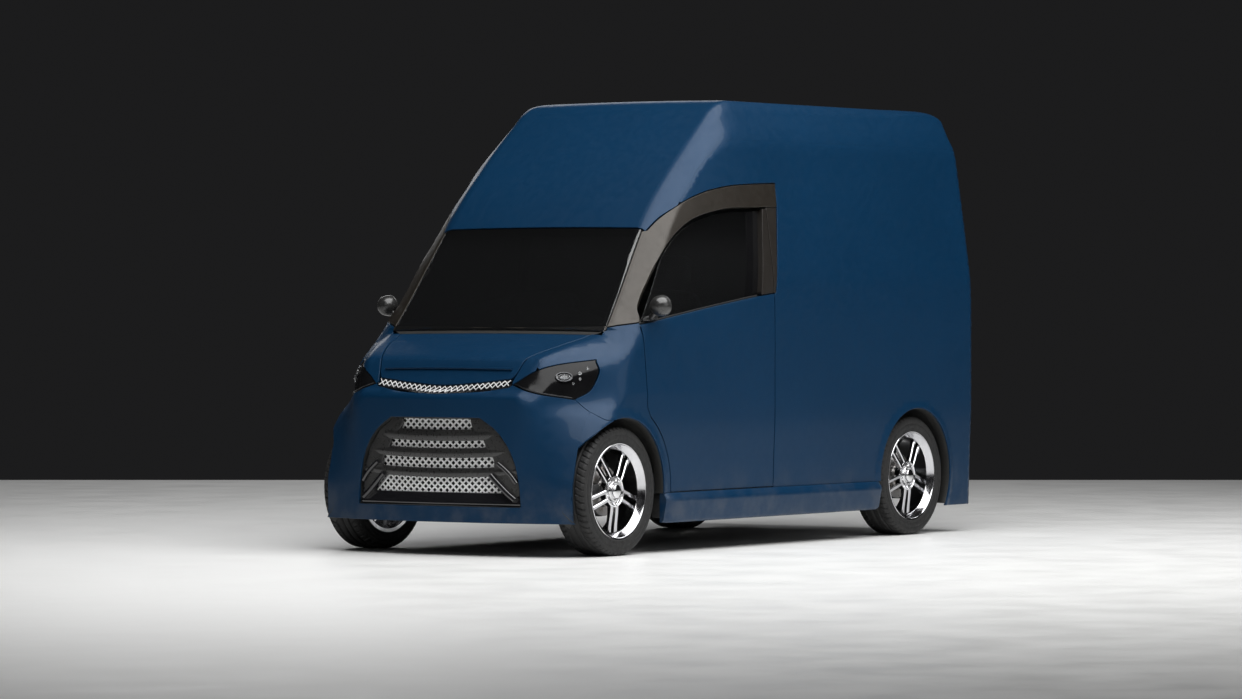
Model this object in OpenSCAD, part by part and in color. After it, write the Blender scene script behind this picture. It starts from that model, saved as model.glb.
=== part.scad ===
// Electric cargo van, light class, built as an assembly of named pieces.
// Millimetres. X points forward, Y to the vehicle's left, Z up.
// The origin is on the ground, on the centre line, at the middle of the length.

/* [Overall] */
// Distance between the front and rear wheel centres
wheelbase = 2450; // [2200:10:2700]
// Front wheel centre ahead of the origin
front_axle_x = 1300; // [1250:5:1350]
// Height of the flat part of the roof
roof_height = 2012; // [1950:1:2080]
// Half width of the body at the belt line
half_width = 727; // [700:1:760]
// Rear face of the body behind the origin
rear_length = 1692; // [1650:1:1900]

/* [Panels] */
// Thickness of the side walls
wall = 30; // [20:1:40]
// Thickness of the doors
door_wall = 40; // [25:1:48]
// Thickness of the hood
hood_wall = 18; // [10:1:24]
// Thickness of the windscreen and the door windows
glass = 6; // [4:0.5:10]
// Gap around every moving panel
gap = 6; // [5:0.5:9]
// How far the side windows sit inside the pillar face
glass_recess = 36; // [20:1:44]
// How far the wheel-arch lips stand out from the body
lip = 9; // [3:1:14]

/* [Wheels] */
// Outside diameter of the tyres
tyre_d = 560; // [540:2:566]
// Width of the tyres
tyre_w = 165; // [145:1:175]
// Diameter of the rim flange
rim_d = 421; // [380:1:440]
// Distance from the centre line to the outer sidewall of a tyre
track_half = 705; // [695:1:710]
// Radius of the wheel openings
arch_r = 318; // [310:1:330]
// Number of double spokes on each rim
spokes = 5; // [4:1:8]

/* [Steering] */
// Distance from the centre line to the steering pivot
kingpin_y = 585; // [575:1:595]
// Length of each steering arm
arm_length = 95; // [80:1:100]
// Clearance between the arm pin and its slot in the tie rod
pin_clearance = 2; // [1.5:0.1:4]

/* [Chassis] */
// Underside of the two long rails
rail_z = 325; // [320:1:335]
// Height of the rails
rail_h = 70; // [50:1:80]
// Width of each rail
rail_w = 60; // [40:1:60]
// Outer face of each rail from the centre line
rail_y = 385; // [370:1:390]
// Length of the battery pack
battery_l = 1450; // [1200:10:1600]
// Thickness of the floor
floor_t = 12; // [6:1:20]

/* [Hidden] */

rear_axle_x = front_axle_x - wheelbase;
axle_z = tyre_d / 2;
wheel_y = track_half - tyre_w / 2;
floor_z = rail_z + rail_h;
nose_x = 1705;
rear_x = -rear_length;
far = 3000;
body_blue = [0.05, 0.15, 0.30];
bronze = [0.24, 0.22, 0.18];
black = [0.06, 0.06, 0.06];
dark_glass = [0.07, 0.08, 0.09, 0.8];
steel = [0.35, 0.36, 0.38];
chrome = [0.8, 0.8, 0.82];
rubber = [0.08, 0.08, 0.08];

// ---------------------------------------------------------------- body surface
// Height of the top surface along the body: roof, slope, windscreen, hood, nose.
top_line = [
    [rear_x, roof_height - 50], [rear_x + 20, roof_height - 30],
    [rear_x + 60, roof_height - 15], [rear_x + 140, roof_height - 4],
    [rear_x + 260, roof_height], [160, roof_height], [233, roof_height - 12],
    [295, roof_height - 40], [350, 1928], [470, 1830], [580, 1734], [720, 1605],
    [800, 1520], [880, 1424], [1240, 960], [1400, 912], [1556, 852],
    [1622, 749], [1650, 712], [nose_x, 700]];
// Distance from the centre line to the inner crease that edges the top surface.
inner_crease = [
    [rear_x, 470], [rear_x + 700, 500], [233, 525], [880, 534], [1240, 575],
    [1400, 530], [1556, 470], [1622, 440], [nose_x, 420]];
// Height of the outer crease, where the chamfer meets the side wall.
outer_crease = [
    [rear_x, roof_height - 190], [rear_x + 100, roof_height - 180], [0, roof_height - 182],
    [280, roof_height - 184], [391, 1793], [525, 1709], [618, 1619], [713, 1530],
    [793, 1437], [1153, 973], [1235, 890], [1383, 825], [1556, 745], [1650, 660],
    [nose_x, 640]];
// Side wall: how far it draws in below and above the belt line.
wall_line = [[130, 15], [387, 8], [628, 0], [1000, 0], [1160, 3], [1398, 31],
    [1591, 59], [1852, 99], [2000, 127]];
// Extra draw-in towards the front, by height.
front_taper = [[700, 0], [1000, 15], [1420, 80], [2000, 170]];
// Where the slanted nose corner stands at 660 mm from the centre line, by height.
corner_line = [[164, 1592], [298, 1595], [390, 1576], [478, 1551], [593, 1493],
    [671, 1419], [849, 1346], [1000, 1200]];
corner_y = 465;
sill_z = 130;
taper_x = 100;
taper_end = 1140;
crease_x = 1665;

function edge_round(x, r) =
    x < rear_x + r ? r - sqrt(max(0, r * r - pow(rear_x + r - x, 2))) : 0;
function taper(x, z) =
    lookup(z, front_taper) * pow(max(0, min(x, taper_end) - taper_x) / 780, 2);
function corner_slope(z) = (crease_x - lookup(z, corner_line)) / 195;
function nose_y(x, z) = x < crease_x
    ? corner_y + (crease_x - x) / corner_slope(z)
    : corner_y * sqrt(max(0.05, (nose_x - x) / (nose_x - crease_x)));
function wall_y(x, z) = min(
    half_width - lookup(z, wall_line) - taper(x, z) - edge_round(x, 45),
    x > 1100 ? nose_y(x, z) : far);
function slope_at(x) = (lookup(x + 60, top_line) - lookup(x - 60, top_line)) / 120;
function top_z(x, t) = lookup(x, top_line) - t * sqrt(1 + pow(max(-2, slope_at(x)), 2));

levels = [1, 0.88, 0.75, 0.606, 0.5, 0.4, 0.29, 0.16, 0];
crown = 8;
// Half of one cross-section, from the centre of the roof down to the sill.
function half_section(x, t) = let(
        xo = min(x, nose_x),
        zb = lookup(xo, outer_crease),
        yb = wall_y(xo, zb),
        ya = min(lookup(xo, inner_crease), yb - 3),
        zc = max(top_z(xo, t), sill_z + 20),
        drop = zb - t * 0.45)
    concat(
        [[x, ya * 0.5, zc + crown * 0.75], [x, ya - t * 0.3, zc]],
        [for (f = levels) let(z = sill_z + (zb - sill_z) * f)
            [x, wall_y(xo, z) - t, f == 1 ? drop : z + (f == 0 ? -20 * sign(max(0, t)) : 0)]]);
function flip_y(points) =
    [for (k = [len(points) - 1:-1:0]) [points[k][0], -points[k][1], points[k][2]]];
// A full cross-section, or only its left half closed along the centre plane.
function ring(x, t, left) = let(h = half_section(x, t))
    left
        ? concat([[x, 0, h[0][2] + crown * 0.25]], h, [[x, 0, h[len(h) - 1][2]]])
        : concat(h, flip_y(h));

// Closed solid through the cross-sections at the stations xs, drawn in by t.
module loft(xs, t = 0, left = false) {
    m = left ? len(levels) + 4 : 2 * (len(levels) + 2);
    n = len(xs);
    polyhedron(
        [for (x = xs) each ring(x, t, left)],
        concat(
            [[for (j = [m - 1:-1:0]) j]],
            [[for (j = [0:m - 1]) (n - 1) * m + j]],
            [for (i = [0:n - 2]) for (j = [0:m - 1]) each let(
                    a = i * m + j,
                    b = i * m + (j + 1) % m,
                    c = a + m,
                    d = b + m)
                [[a, b, d], [a, d, c]]]));
}

// Stations between two ends, denser where the surface bends.
all_stations = [
    rear_x, rear_x + 3, rear_x + 12, rear_x + 28, rear_x + 60, rear_x + 140, rear_x + 260,
    -1000, -500, 0, 160, 233, 295, 350, 391, 470, 525, 580, 618, 713, 793, 880, 960,
    1050, 1153, 1240, 1320, 1400, 1480, 1556, 1590, 1622, 1650, 1665, 1682, 1696, nose_x];
function stations(a, b) =
    concat([a], [for (x = all_stations) if (x > a + 1 && x < b - 1) x], [b]);

module side_view(points) {
    translate([0, far / 2, 0])
        rotate([90, 0, 0])
            linear_extrude(far) polygon(points);
}
module plan_view(points) {
    linear_extrude(far) polygon(points);
}
module front_view(points) {
    rotate([90, 0, 90]) linear_extrude(far) polygon(points);
}
module both_sides() {
    children();
    mirror([0, 1, 0]) children();
}
module wheel_opening(x, r, inner = 0) {
    translate([x, inner, axle_z])
        rotate([-90, 0, 0]) cylinder(r = r, h = far, $fn = 96);
}
// Body skin between two stations, with raised lips round the wheel openings.
module skin(a, b, t, wheel_x = 0, inner_a = 0, inner_b = 0) {
    difference() {
        union() {
            loft(stations(a, b), 0, true);
            if (wheel_x != 0)
                intersection() {
                    loft(stations(
                        max(a, wheel_x - arch_r - 40), min(b, wheel_x + arch_r + 40)),
                        -lip, true);
                    wheel_opening(wheel_x, arch_r + 24, 560);
                }
        }
        loft(stations(a - 5 + inner_a, b + 5 + inner_b), t, true);
        if (wheel_x != 0) wheel_opening(wheel_x, arch_r, -5);
    }
}

// ---------------------------------------------------------------- shut lines
shut_x = 85;
belt_rear_z = 1136;
window_sill = [[171, 1131], [547, 1083], [936, 1029], [1128, 1000]];
window_arch = [
    [1140, 1075], [1078, 1147], [929, 1276], [819, 1367], [737, 1424], [641, 1476],
    [548, 1506], [458, 1518], [129, 1529]];
arch_outside = [
    [862, 1410], [840, 1455], [800, 1493], [721, 1550], [618, 1592], [447, 1625],
    [shut_x, 1640]];

// Arc about the front wheel that parts the door from the fender.
door_arc_r = arch_r + 60;
function wheel_arc(r) =
    [for (a = [124:8:172]) [front_axle_x + r * cos(a), axle_z + r * sin(a)]];
function door_outline(g) = concat(
    [[shut_x + g, 268], [shut_x + g, belt_rear_z - 2]],
    [for (p = window_sill) [p[0], p[1] - 2]],
    [[1122 - g, 990], [1118 - g, 640]],
    wheel_arc(door_arc_r + g),
    [[front_axle_x - door_arc_r - g, 268]]);

// ---------------------------------------------------------------- body panels
module roof_panel() color(body_blue) {
    intersection() {
        difference() {
            loft(stations(rear_x, 878));
            loft(stations(rear_x + 35, 890), 24);
        }
        side_view(concat(
            [[rear_x - 10, roof_height - 180], [0, roof_height - 180],
             [280, roof_height - 184], [391, 1793], [525, 1709], [618, 1619],
             [650, 1582], [721, 1550], [800, 1493], [840, 1455], [862, 1410],
             [900, 1380], [900, roof_height + 60], [rear_x - 10, roof_height + 60]]));
    }
}

module side_panel() color(body_blue) {
    difference() {
        intersection() {
            skin(rear_x, 700, wall, rear_axle_x, 40);
            side_view(concat(
                [[rear_x - 10, 100], [rear_axle_x - 300, 100],
                 [rear_axle_x - 300, 200], [rear_axle_x + 300, 200],
                 [rear_axle_x + 300, 262], [shut_x, 262], [shut_x, 1640],
                 [447, 1625], [618, 1592], [650, 1582], [618, 1619], [525, 1709],
                 [391, 1793], [280, roof_height - 184], [0, roof_height - 180],
                 [rear_x - 10, roof_height - 180]]));
        }
        translate([rear_x - 10, -1, 0]) cube([100, rear_post_y + 1, far]);
    }
}

module side_panel_left() side_panel();
module side_panel_right() mirror([0, 1, 0]) side_panel();

module pillar_skin() {
    intersection() {
        difference() {
            loft(stations(shut_x, 1236), 0, true);
            loft(stations(shut_x - 5, 1250), 45, true);
            plan_view([
                [0, -10], [0, 533], [880, 533], [1240, 574], [1300, 574], [1300, -10]]);
        }
        side_view(concat(
            [[1245, 905], [1245, 1000], [900, 1440], [900, 1380]],
            arch_outside,
            [[shut_x, 1529]],
            [for (k = [len(window_arch) - 1:-1:0]) window_arch[k]],
            [[1134, 1000], [1134, 905]]));
    }
}
module pillar_arch() color(bronze) {
    pillar_skin();
    intersection() {
        difference() {
            loft([40, 84], wall + 0.3, true);
            loft([30, 90], wall + 55, true);
        }
        translate([40, 300, 264]) cube([44, far, 1560 - 264]);
    }
}
module pillar_arch_left() pillar_arch();
module pillar_arch_right() mirror([0, 1, 0]) pillar_arch();

module windscreen() color(dark_glass) {
    intersection() {
        difference() {
            loft(stations(878, 1232));
            loft(stations(870, 1250), glass);
        }
        plan_view([
            [878, 532.5], [880, 532.5], [1232, 572.5], [1232, -572.5], [880, -532.5], [878, -532.5]]);
        translate([0, -far / 2, 800]) cube([far, far, 800]);
    }
}

hood_pin = [1256, 932];
hood_nose_x = 1618;
hood_edge = [[1245, 520], [1400, 470], [1556, 394], [hood_nose_x, 362]];
module hood_region(g) {
    plan_view(concat(
        [[hood_edge[0][0] + g - 6, 0], [hood_edge[0][0] + g - 6, hood_edge[0][1] - g]],
        [for (k = [1:3]) [hood_edge[k][0] - (k == 3 ? g : 0), hood_edge[k][1] - g]],
        [[hood_nose_x - g, g - hood_edge[3][1]]],
        [for (k = [2:-1:1]) [hood_edge[k][0], -hood_edge[k][1] + g]],
        [[hood_edge[0][0] + g - 6, -hood_edge[0][1] + g]]));
}
module hood() color(body_blue) {
    intersection() {
        difference() {
            loft(stations(1244, 1622));
            loft(stations(1230, 1640), hood_wall);
        }
        hood_region(gap);
        translate([0, -far / 2, 700]) cube([far, far, 500]);
    }
    // Two hinge straps on the underside at the rear edge.
    both_sides() difference() {
        translate([hood_pin[0] - 8, 330, hood_pin[1] - 8]) cube([50, 30, 14]);
        translate([hood_pin[0], 320, hood_pin[1]]) rotate([-90, 0, 0])
            cylinder(r = 3.6, h = 60, $fn = 32);
    }
}

lamp_outline = [
    [366, 742], [440, 792], [530, 832], [628, 852], [654, 800], [640, 720],
    [600, 678], [480, 706]];
bumper_outline = [
    [0, 100], [800, 100], [800, 560], [700, 600], [640, 640], [600, 678], [480, 706],
    [366, 742], [356, 732], [200, 710], [0, 702]];
strip_outline = [
    [0, 704], [200, 712], [354, 734], [354, 764], [200, 744], [0, 736]];
module lamp_region() front_view(lamp_outline);
module bumper_region() {
    intersection() {
        front_view(bumper_outline);
        translate([front_axle_x, 0, 0]) cube([far, far, far]);
    }
}

module fender() color(body_blue) {
    difference() {
        skin(front_axle_x - door_arc_r - 2, 1660, 25, front_axle_x, 0, -20);
        // Door, pillar, windscreen, hood, lamp and bumper leave the fender its own area.
        side_view(concat(
            [[0, 0], [0, 1700], [1134, 1700], [1134, 990], [1122, 990], [1118, 640]],
            wheel_arc(door_arc_r),
            [[front_axle_x - door_arc_r, 262], [1200, 262], [1200, 0]]));
        side_view([[1133, 905], [1133, 1800], [1245, 1800], [1245, 905]]);
        hood_region(0);
        translate([1100, -1, 600]) cube([far, 361, 600]);
        lamp_region();
        bumper_region();
    }
}
module fender_left() fender();
module fender_right() mirror([0, 1, 0]) fender();

module headlights() color(black) {
    both_sides() difference() {
        intersection() {
            skin(1340, 1660, 45, 0, 0, -30);
            lamp_region();
        }
        hood_region(0);
    }
}

// Towing eye sockets, from the centre line and above the floor.
tow_at = [-250, 190];
grille_x = 1612;
grille_outline = [
    [437, 215], [430, 300], [413, 391], [380, 470], [320, 545], [240, 599]];
module grille_region(g) {
    front_view(concat(
        [for (p = grille_outline) [p[0] - g, p[1] + (p[1] < 220 ? g : 0) - (p[1] > 590 ? g : 0)]],
        [for (k = [5:-1:0]) let(p = grille_outline[k])
            [-p[0] + g, p[1] + (p[1] < 220 ? g : 0) - (p[1] > 590 ? g : 0)]]));
}
module front_bumper() color(body_blue) {
    difference() {
        both_sides() intersection() {
            skin(1310, nose_x, 30, front_axle_x, 0, -35);
            bumper_region();
        }
        grille_region(0);
        // Slot in the lower lip for the towing eye.
        translate([1500, tow_at[0] - 26, 100]) cube([400, 52, 122]);
    }
}

// Sagging bar across the opening, from side to side, with a level middle.
module grille_bar(z, w, h, sag) {
    intersection() {
        translate([1640, -w, z - h]) cube([30, 2 * w, 2 * h]);
        translate([1630, 0, z + 4 * w]) rotate([0, 90, 0]) difference() {
            cylinder(r = 4 * w + sag, h = 60, $fn = 180);
            translate([0, 0, -1]) cylinder(r = 4 * w + sag - h, h = 62, $fn = 180);
        }
    }
}
module grille() color(black) {
    intersection() {
        translate([grille_x, -440, 200]) cube([16, 880, 410]);
        grille_region(0);
    }
    for (k = [0:2]) intersection() {
        translate([-18, 0, 0]) grille_bar(346 + 76 * k, 400, 20, 8);
        grille_region(0);
    }
    // Strip under the hood.
    both_sides() intersection() {
        difference() {
            loft(stations(hood_nose_x, nose_x), 10, true);
            loft(stations(hood_nose_x - 5, nose_x + 10), 26, true);
        }
        front_view(strip_outline);
    }
}

module sills() color(body_blue) {
    both_sides()
        translate([rear_axle_x + arch_r + 2, 0, 0]) rotate([90, 0, 90])
            linear_extrude(wheelbase - 2 * arch_r - 4)
                polygon([
                    [640, 150], [655, 130], [722, 130], [742, 244], [734, 261], [640, 261]]);
}

// ---------------------------------------------------------------- side doors
module door() color(body_blue) {
    intersection() {
        difference() {
            loft(stations(shut_x, 1130), 0, true);
            loft(stations(shut_x - 5, 1140), door_wall, true);
        }
        side_view(door_outline(gap));
    }
}
module door_left() door();
module door_right() mirror([0, 1, 0]) door();

module door_glass() color(dark_glass) {
    intersection() {
        difference() {
            loft(stations(shut_x + 20, 1140), glass_recess - glass, true);
            loft(stations(shut_x + 10, 1150), glass_recess, true);
        }
        side_view(concat(
            [[shut_x + 22, 1135]],
            [[shut_x + 22, 1519]],
            [for (k = [len(window_arch) - 2:-1:1])
                [window_arch[k][0] - 7, window_arch[k][1] - 10]],
            [[1110, 1048]],
            [for (k = [2:-1:0]) [window_sill[k][0], window_sill[k][1] - 2]]));
    }
}
module door_glass_left() door_glass();
module door_glass_right() mirror([0, 1, 0]) door_glass();

mirror_at = [1020, 745, 1079];
module side_mirror() color(black) {
    difference() {
        translate(mirror_at) rotate([0, 90, 0]) cylinder(d = 96, h = 50, center = true, $fn = 64);
        translate([mirror_at[0] - 30, mirror_at[1], mirror_at[2]])
            rotate([0, 90, 0]) cylinder(d = 84, h = 12, $fn = 64);
    }
    difference() {
        translate([mirror_at[0] - 12, 680, 1000]) cube([24, 20, 66]);
        side_view(door_outline(0));
    }
    translate([mirror_at[0] - 12, 680, 1044]) cube([24, 40, 22]);
}
module mirror_left() side_mirror();
module mirror_right() mirror([0, 1, 0]) side_mirror();

// ---------------------------------------------------------------- rear end
rear_post_y = 572;
rear_door_z = [306, roof_height - 180 - gap];
module rear_door() color(body_blue) {
    difference() {
        translate([rear_x, gap / 2, rear_door_z[0]])
            cube([door_wall, rear_post_y - gap * 1.5, rear_door_z[1] - rear_door_z[0]]);
        // Pressed panel on the outer face.
        translate([rear_x - 1, 80, 1020]) cube([7, 400, 640]);
        translate([rear_x - 1, 80, 420]) cube([7, 400, 380]);
    }
    // Hinge barrels on the outer edge.
    for (z = [480, 1600]) {
        translate([rear_x - 6, rear_post_y - gap, z]) cylinder(r = 7, h = 90, $fn = 32);
        translate([rear_x - 5, rear_post_y - gap - 40, z]) cube([5, 40, 90]);
    }
    // Handle.
    translate([rear_x - 13, 30, 880]) cube([6, 26, 110]);
    for (z = [884, 972]) translate([rear_x - 8, 36, z]) cube([10, 14, 14]);
}
module rear_door_left() rear_door();
module rear_door_right() mirror([0, 1, 0]) rear_door();

module rear_bumper() color(body_blue) {
    difference() {
        translate([rear_x, 1 - rear_post_y, 146]) cube([60, 2 * rear_post_y - 2, 154]);
        translate([rear_x - 10, tow_at[0], tow_at[1]]) rotate([0, 90, 0])
            cylinder(d = 44, h = 100, $fn = 48);
    }
}
module tail_lights() color([0.5, 0.03, 0.03]) {
    both_sides() translate([rear_x - 8, 600, 760]) cube([8, 70, 240]);
}

// ---------------------------------------------------------------- inside the body
well_r = arch_r + 8;
floor_y = half_width - wall - 9;
module floor_pan() color(steel) {
    difference() {
        union() {
            translate([rear_x + 60, -floor_y, floor_z])
                cube([40 - rear_x - 60, 2 * floor_y, floor_t]);
            translate([39, 60 - floor_y, floor_z]) cube([48, 2 * floor_y - 120, floor_t]);
            translate([86, 20 - floor_y, floor_z]) cube([874, 2 * floor_y - 40, floor_t]);
            translate([950, -rail_y, floor_z]) cube([610, 2 * rail_y, floor_t]);
            // Rear wheel housings.
            both_sides() translate([rear_axle_x, 520, axle_z]) rotate([-90, 0, 0])
                cylinder(r = well_r + 12, h = floor_y - 523, $fn = 96);
            // Front wheel housings.
            both_sides() intersection() {
                translate([front_axle_x, rail_y - 12, axle_z]) rotate([-90, 0, 0])
                    cylinder(r = well_r + 12, h = 320, $fn = 96);
                loft(stations(940, 1660), 30, true);
                translate([0, 0, floor_z]) cube([grille_x - gap, far, far]);
            }
        }
        both_sides() {
            translate([rear_axle_x, 530, axle_z]) rotate([-90, 0, 0])
                cylinder(r = well_r, h = 200, $fn = 96);
            translate([front_axle_x, rail_y, axle_z]) rotate([-90, 0, 0])
                cylinder(r = well_r, h = 400, $fn = 96);
        }
        translate([rear_axle_x - 400, -700, -100]) cube([800, 1400, 100 + floor_z]);
        // Tie-down bolt holes in the load floor.
        for (x = [-1450, -775]) for (y = [-300, 300])
            translate([x, y, floor_z - 1]) cylinder(d = 10.5, h = floor_t + 2, $fn = 48);
    }
}

module firewall() color(steel) {
    difference() {
        translate([1226, -560, floor_z + floor_t]) cube([10, 1120, 930 - floor_z - floor_t]);
        both_sides() translate([front_axle_x, rail_y - 13, axle_z]) rotate([-90, 0, 0])
            cylinder(r = well_r + 13, h = 320, $fn = 96);
    }
    // Hood hinge brackets and pins.
    both_sides() {
        translate([1236, 364, hood_pin[1] - 26]) cube([28, 12, 14]);
        translate([hood_pin[0] - 2, 364, hood_pin[1] - 26]) cube([10, 12, 27.5]);
        translate([hood_pin[0], 326, hood_pin[1]]) rotate([-90, 0, 0])
            cylinder(r = 3.2, h = 50, $fn = 32);
    }
}

module bulkhead() color(steel) {
    intersection() {
        translate([20, -700, floor_z + floor_t]) cube([18, 1400, 1560]);
        loft([10, 60], wall + 0.3);
    }
}

module dashboard() color(black) {
    intersection() {
        translate([0, 560, 0]) rotate([90, 0, 0]) linear_extrude(1120)
            polygon([
                [1226, 700], [1226, 912], [1120, 930], [1030, 905], [990, 850],
                [1010, 760], [1080, 700]]);
        loft(stations(960, 1240), 62);
    }
}

module seat() {
    translate([440, 130, floor_z + floor_t]) cube([430, 400, 130]);
    difference() {
        translate([420, 120, floor_z + floor_t + 130]) cube([470, 420, 110]);
        translate([520, 200, floor_z + floor_t + 225]) cube([300, 260, 40]);
    }
    translate([430, 330, floor_z + floor_t + 220]) rotate([0, -12, 0])
        translate([0, -200, -20]) cube([100, 400, 540]);
    translate([322, 330, floor_z + floor_t + 728]) rotate([0, -12, 0])
        translate([10, -110, 0]) cube([80, 220, 170]);
}
module seats() color([0.16, 0.16, 0.17]) both_sides() seat();

wheel_hub = [930, 330, 905];
wheel_tilt = 62;
module steering_wheel() color(black) {
    translate(wheel_hub) rotate([0, -wheel_tilt, 0]) {
        rotate_extrude($fn = 96) translate([175, 0]) circle(r = 13, $fn = 32);
        cylinder(r = 42, h = 34, center = true, $fn = 64);
        for (a = [0, 120, 240]) rotate([0, 0, a + 60]) translate([30, -14, -8]) cube([142, 28, 14]);
    }
}

// ---------------------------------------------------------------- chassis
rail_end = 1560;
battery_x = rear_axle_x + 400;
module chassis_frame() color(steel) {
    difference() {
        union() {
            both_sides() difference() {
                translate([rear_x + 61, rail_y - rail_w, rail_z])
                    cube([rail_end - rear_x - 61, rail_w, rail_h]);
                translate([rear_x + 50, rail_y - rail_w + 5, rail_z + 5])
                    cube([far, rail_w - 10, rail_h - 10]);
            }
            for (x = [rear_x + 61, battery_x - 110, battery_x + battery_l + 260, rail_end - 60])
                translate([x, rail_w - rail_y, rail_z]) cube([60, 2 * (rail_y - rail_w), rail_h]);
            // Drop brackets that carry the towing sockets.
            for (x = [rear_x + 61, rail_end - 40])
                translate([x, tow_at[0] - 35, 155]) cube([40, 70, rail_z - 155]);
            // Outriggers to the sills.
            both_sides() for (x = [-700, -60, 580])
                translate([x, rail_y, rail_z + 10]) cube([50, 270, rail_h - 20]);
            // Jacking pads.
            both_sides() for (x = [-690, 590])
                translate([x, 600, 261]) cube([30, 55, rail_z + 10 - 261]);
        }
        for (x = [rear_x + 50, rail_end - 50])
            translate([x, tow_at[0], tow_at[1]]) rotate([0, 90, 0]) cylinder(d = 16, h = 70, $fn = 48);
    }
}

module battery_pack() color([0.2, 0.22, 0.24]) {
    translate([battery_x, -rail_y + rail_w + 6, 175])
        cube([battery_l, 2 * (rail_y - rail_w - 6), floor_z - 175]);
}

module drive_motor() color(steel) {
    translate([rear_axle_x, 0, axle_z]) rotate([90, 0, 0])
        cylinder(r = 105, h = 260, center = true, $fn = 96);
    translate([rear_axle_x - 120, 60, 190]) cube([180, 90, 180]);
}

spindle_r = 20;
spindle_end_y = track_half - 40;
module rear_axle() color(steel) {
    both_sides() {
        translate([rear_axle_x, 150, axle_z]) rotate([-90, 0, 0]) cylinder(r = 34, h = 400, $fn = 64);
        translate([rear_axle_x, 550, axle_z]) rotate([-90, 0, 0])
            cylinder(r = spindle_r, h = spindle_end_y - 550, $fn = 64);
        translate([rear_axle_x - 300, rail_y - 50, axle_z + 30]) cube([600, 40, rail_z - axle_z - 30]);
        translate([rear_axle_x - 40, rail_y - 55, axle_z]) cube([80, 50, 36]);
    }
}

pivot = [front_axle_x, kingpin_y];
rack_z = 235;
damper_y = rail_y + 0.35 * (kingpin_y - rail_y);
caliper_y = track_half - 132;
module wishbone(z, open_middle) {
    root_y = open_middle ? rail_y : rail_y - 30;
    translate([0, 0, z]) linear_extrude(20) difference() {
        union() {
            polygon([
                [front_axle_x - 90, root_y], [front_axle_x + 90, root_y],
                [front_axle_x + 18, kingpin_y], [front_axle_x - 18, kingpin_y]]);
            translate(pivot) circle(r = 22, $fn = 48);
        }
        if (open_middle)
            polygon([
                [front_axle_x - 60, rail_y + 16], [front_axle_x + 60, rail_y + 16],
                [front_axle_x + 16, kingpin_y - 45], [front_axle_x - 16, kingpin_y - 45]]);
        translate(pivot) circle(r = 9.05, $fn = 48);
    }
}
module front_suspension() color(steel) {
    translate([front_axle_x - 60, -rail_y, 160]) cube([120, 2 * rail_y, rail_z - 160]);
    both_sides() {
        wishbone(170, false);
        wishbone(372, true);
        // Damper and its bracket on the rail.
        translate([front_axle_x, damper_y, 188]) cylinder(r = 18, h = 320, $fn = 48);
        translate([front_axle_x - 40, rail_y, 500]) cube([80, damper_y + 26 - rail_y, 14]);
        translate([front_axle_x - 40, rail_y, 390]) cube([80, 10, 120]);
    }
    // Rack housing.
    difference() {
        union() {
            translate([front_axle_x - arm_length, -240, rack_z]) rotate([-90, 0, 0])
                cylinder(r = 22, h = 480, $fn = 64);
            for (y = [-200, 160]) translate([front_axle_x - arm_length, y, rack_z - 12])
                cube([arm_length - 59, 40, 24]);
        }
        translate([front_axle_x - arm_length, -250, rack_z]) rotate([-90, 0, 0])
            cylinder(r = 11.05, h = 500, $fn = 64);
    }
}

module knuckle() color(steel) {
    translate([front_axle_x, kingpin_y, 172]) cylinder(r = 9, h = 218, $fn = 48);
    difference() {
        translate([front_axle_x - 24, kingpin_y - 22, 193]) cube([48, 44, 176]);
        translate([front_axle_x - 30, kingpin_y - 30, 260]) cube([10, 60, 40]);
    }
    translate([front_axle_x, kingpin_y, axle_z]) rotate([-90, 0, 0])
        cylinder(r = 34, h = 23, $fn = 64);
    translate([front_axle_x, kingpin_y, axle_z]) rotate([-90, 0, 0])
        cylinder(r = spindle_r, h = spindle_end_y - kingpin_y, $fn = 64);
    // Steering arm and its pin.
    translate([front_axle_x - arm_length - 14, kingpin_y - 12, rack_z - 38])
        cube([arm_length + 14, 24, 16]);
    translate([front_axle_x - arm_length, kingpin_y, rack_z - 24])
        cylinder(r = 8, h = 40, $fn = 48);
    // Brake caliper.
    translate([front_axle_x + 70, caliper_y, axle_z - 32]) difference() {
        cube([54, 70, 64]);
        translate([-1, 35, -1]) cube([45, 20, 66]);
    }
    translate([front_axle_x + 20, kingpin_y - 12, axle_z - 14])
        cube([60, caliper_y + 36 - kingpin_y, 28]);
}
module knuckle_left() knuckle();
module knuckle_right() mirror([0, 1, 0]) knuckle();

slot_travel = arm_length * (1 - cos(33));
module steering_rack() color(steel) {
    translate([front_axle_x - arm_length, -kingpin_y + 24, rack_z]) rotate([-90, 0, 0])
        cylinder(r = 11, h = 2 * kingpin_y - 48, $fn = 48);
    both_sides() difference() {
        translate([front_axle_x - arm_length - 16, kingpin_y - 26, rack_z - 10])
            cube([32 + slot_travel, 41, 20]);
        translate([front_axle_x - arm_length, kingpin_y, rack_z - 20])
            linear_extrude(40) {
                circle(r = 8 + pin_clearance, $fn = 48);
                translate([0, -8 - pin_clearance]) square([slot_travel, 16 + 2 * pin_clearance]);
                translate([slot_travel, 0]) circle(r = 8 + pin_clearance, $fn = 48);
            }
    }
}

// ---------------------------------------------------------------- wheels
rim_r = rim_d / 2;
rim_w = tyre_w - 8;
spoke_gap = 26;
module at_wheel(x, side) {
    translate([x, side * wheel_y, axle_z]) rotate([side > 0 ? -90 : 90, 0, 0]) children();
}
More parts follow.
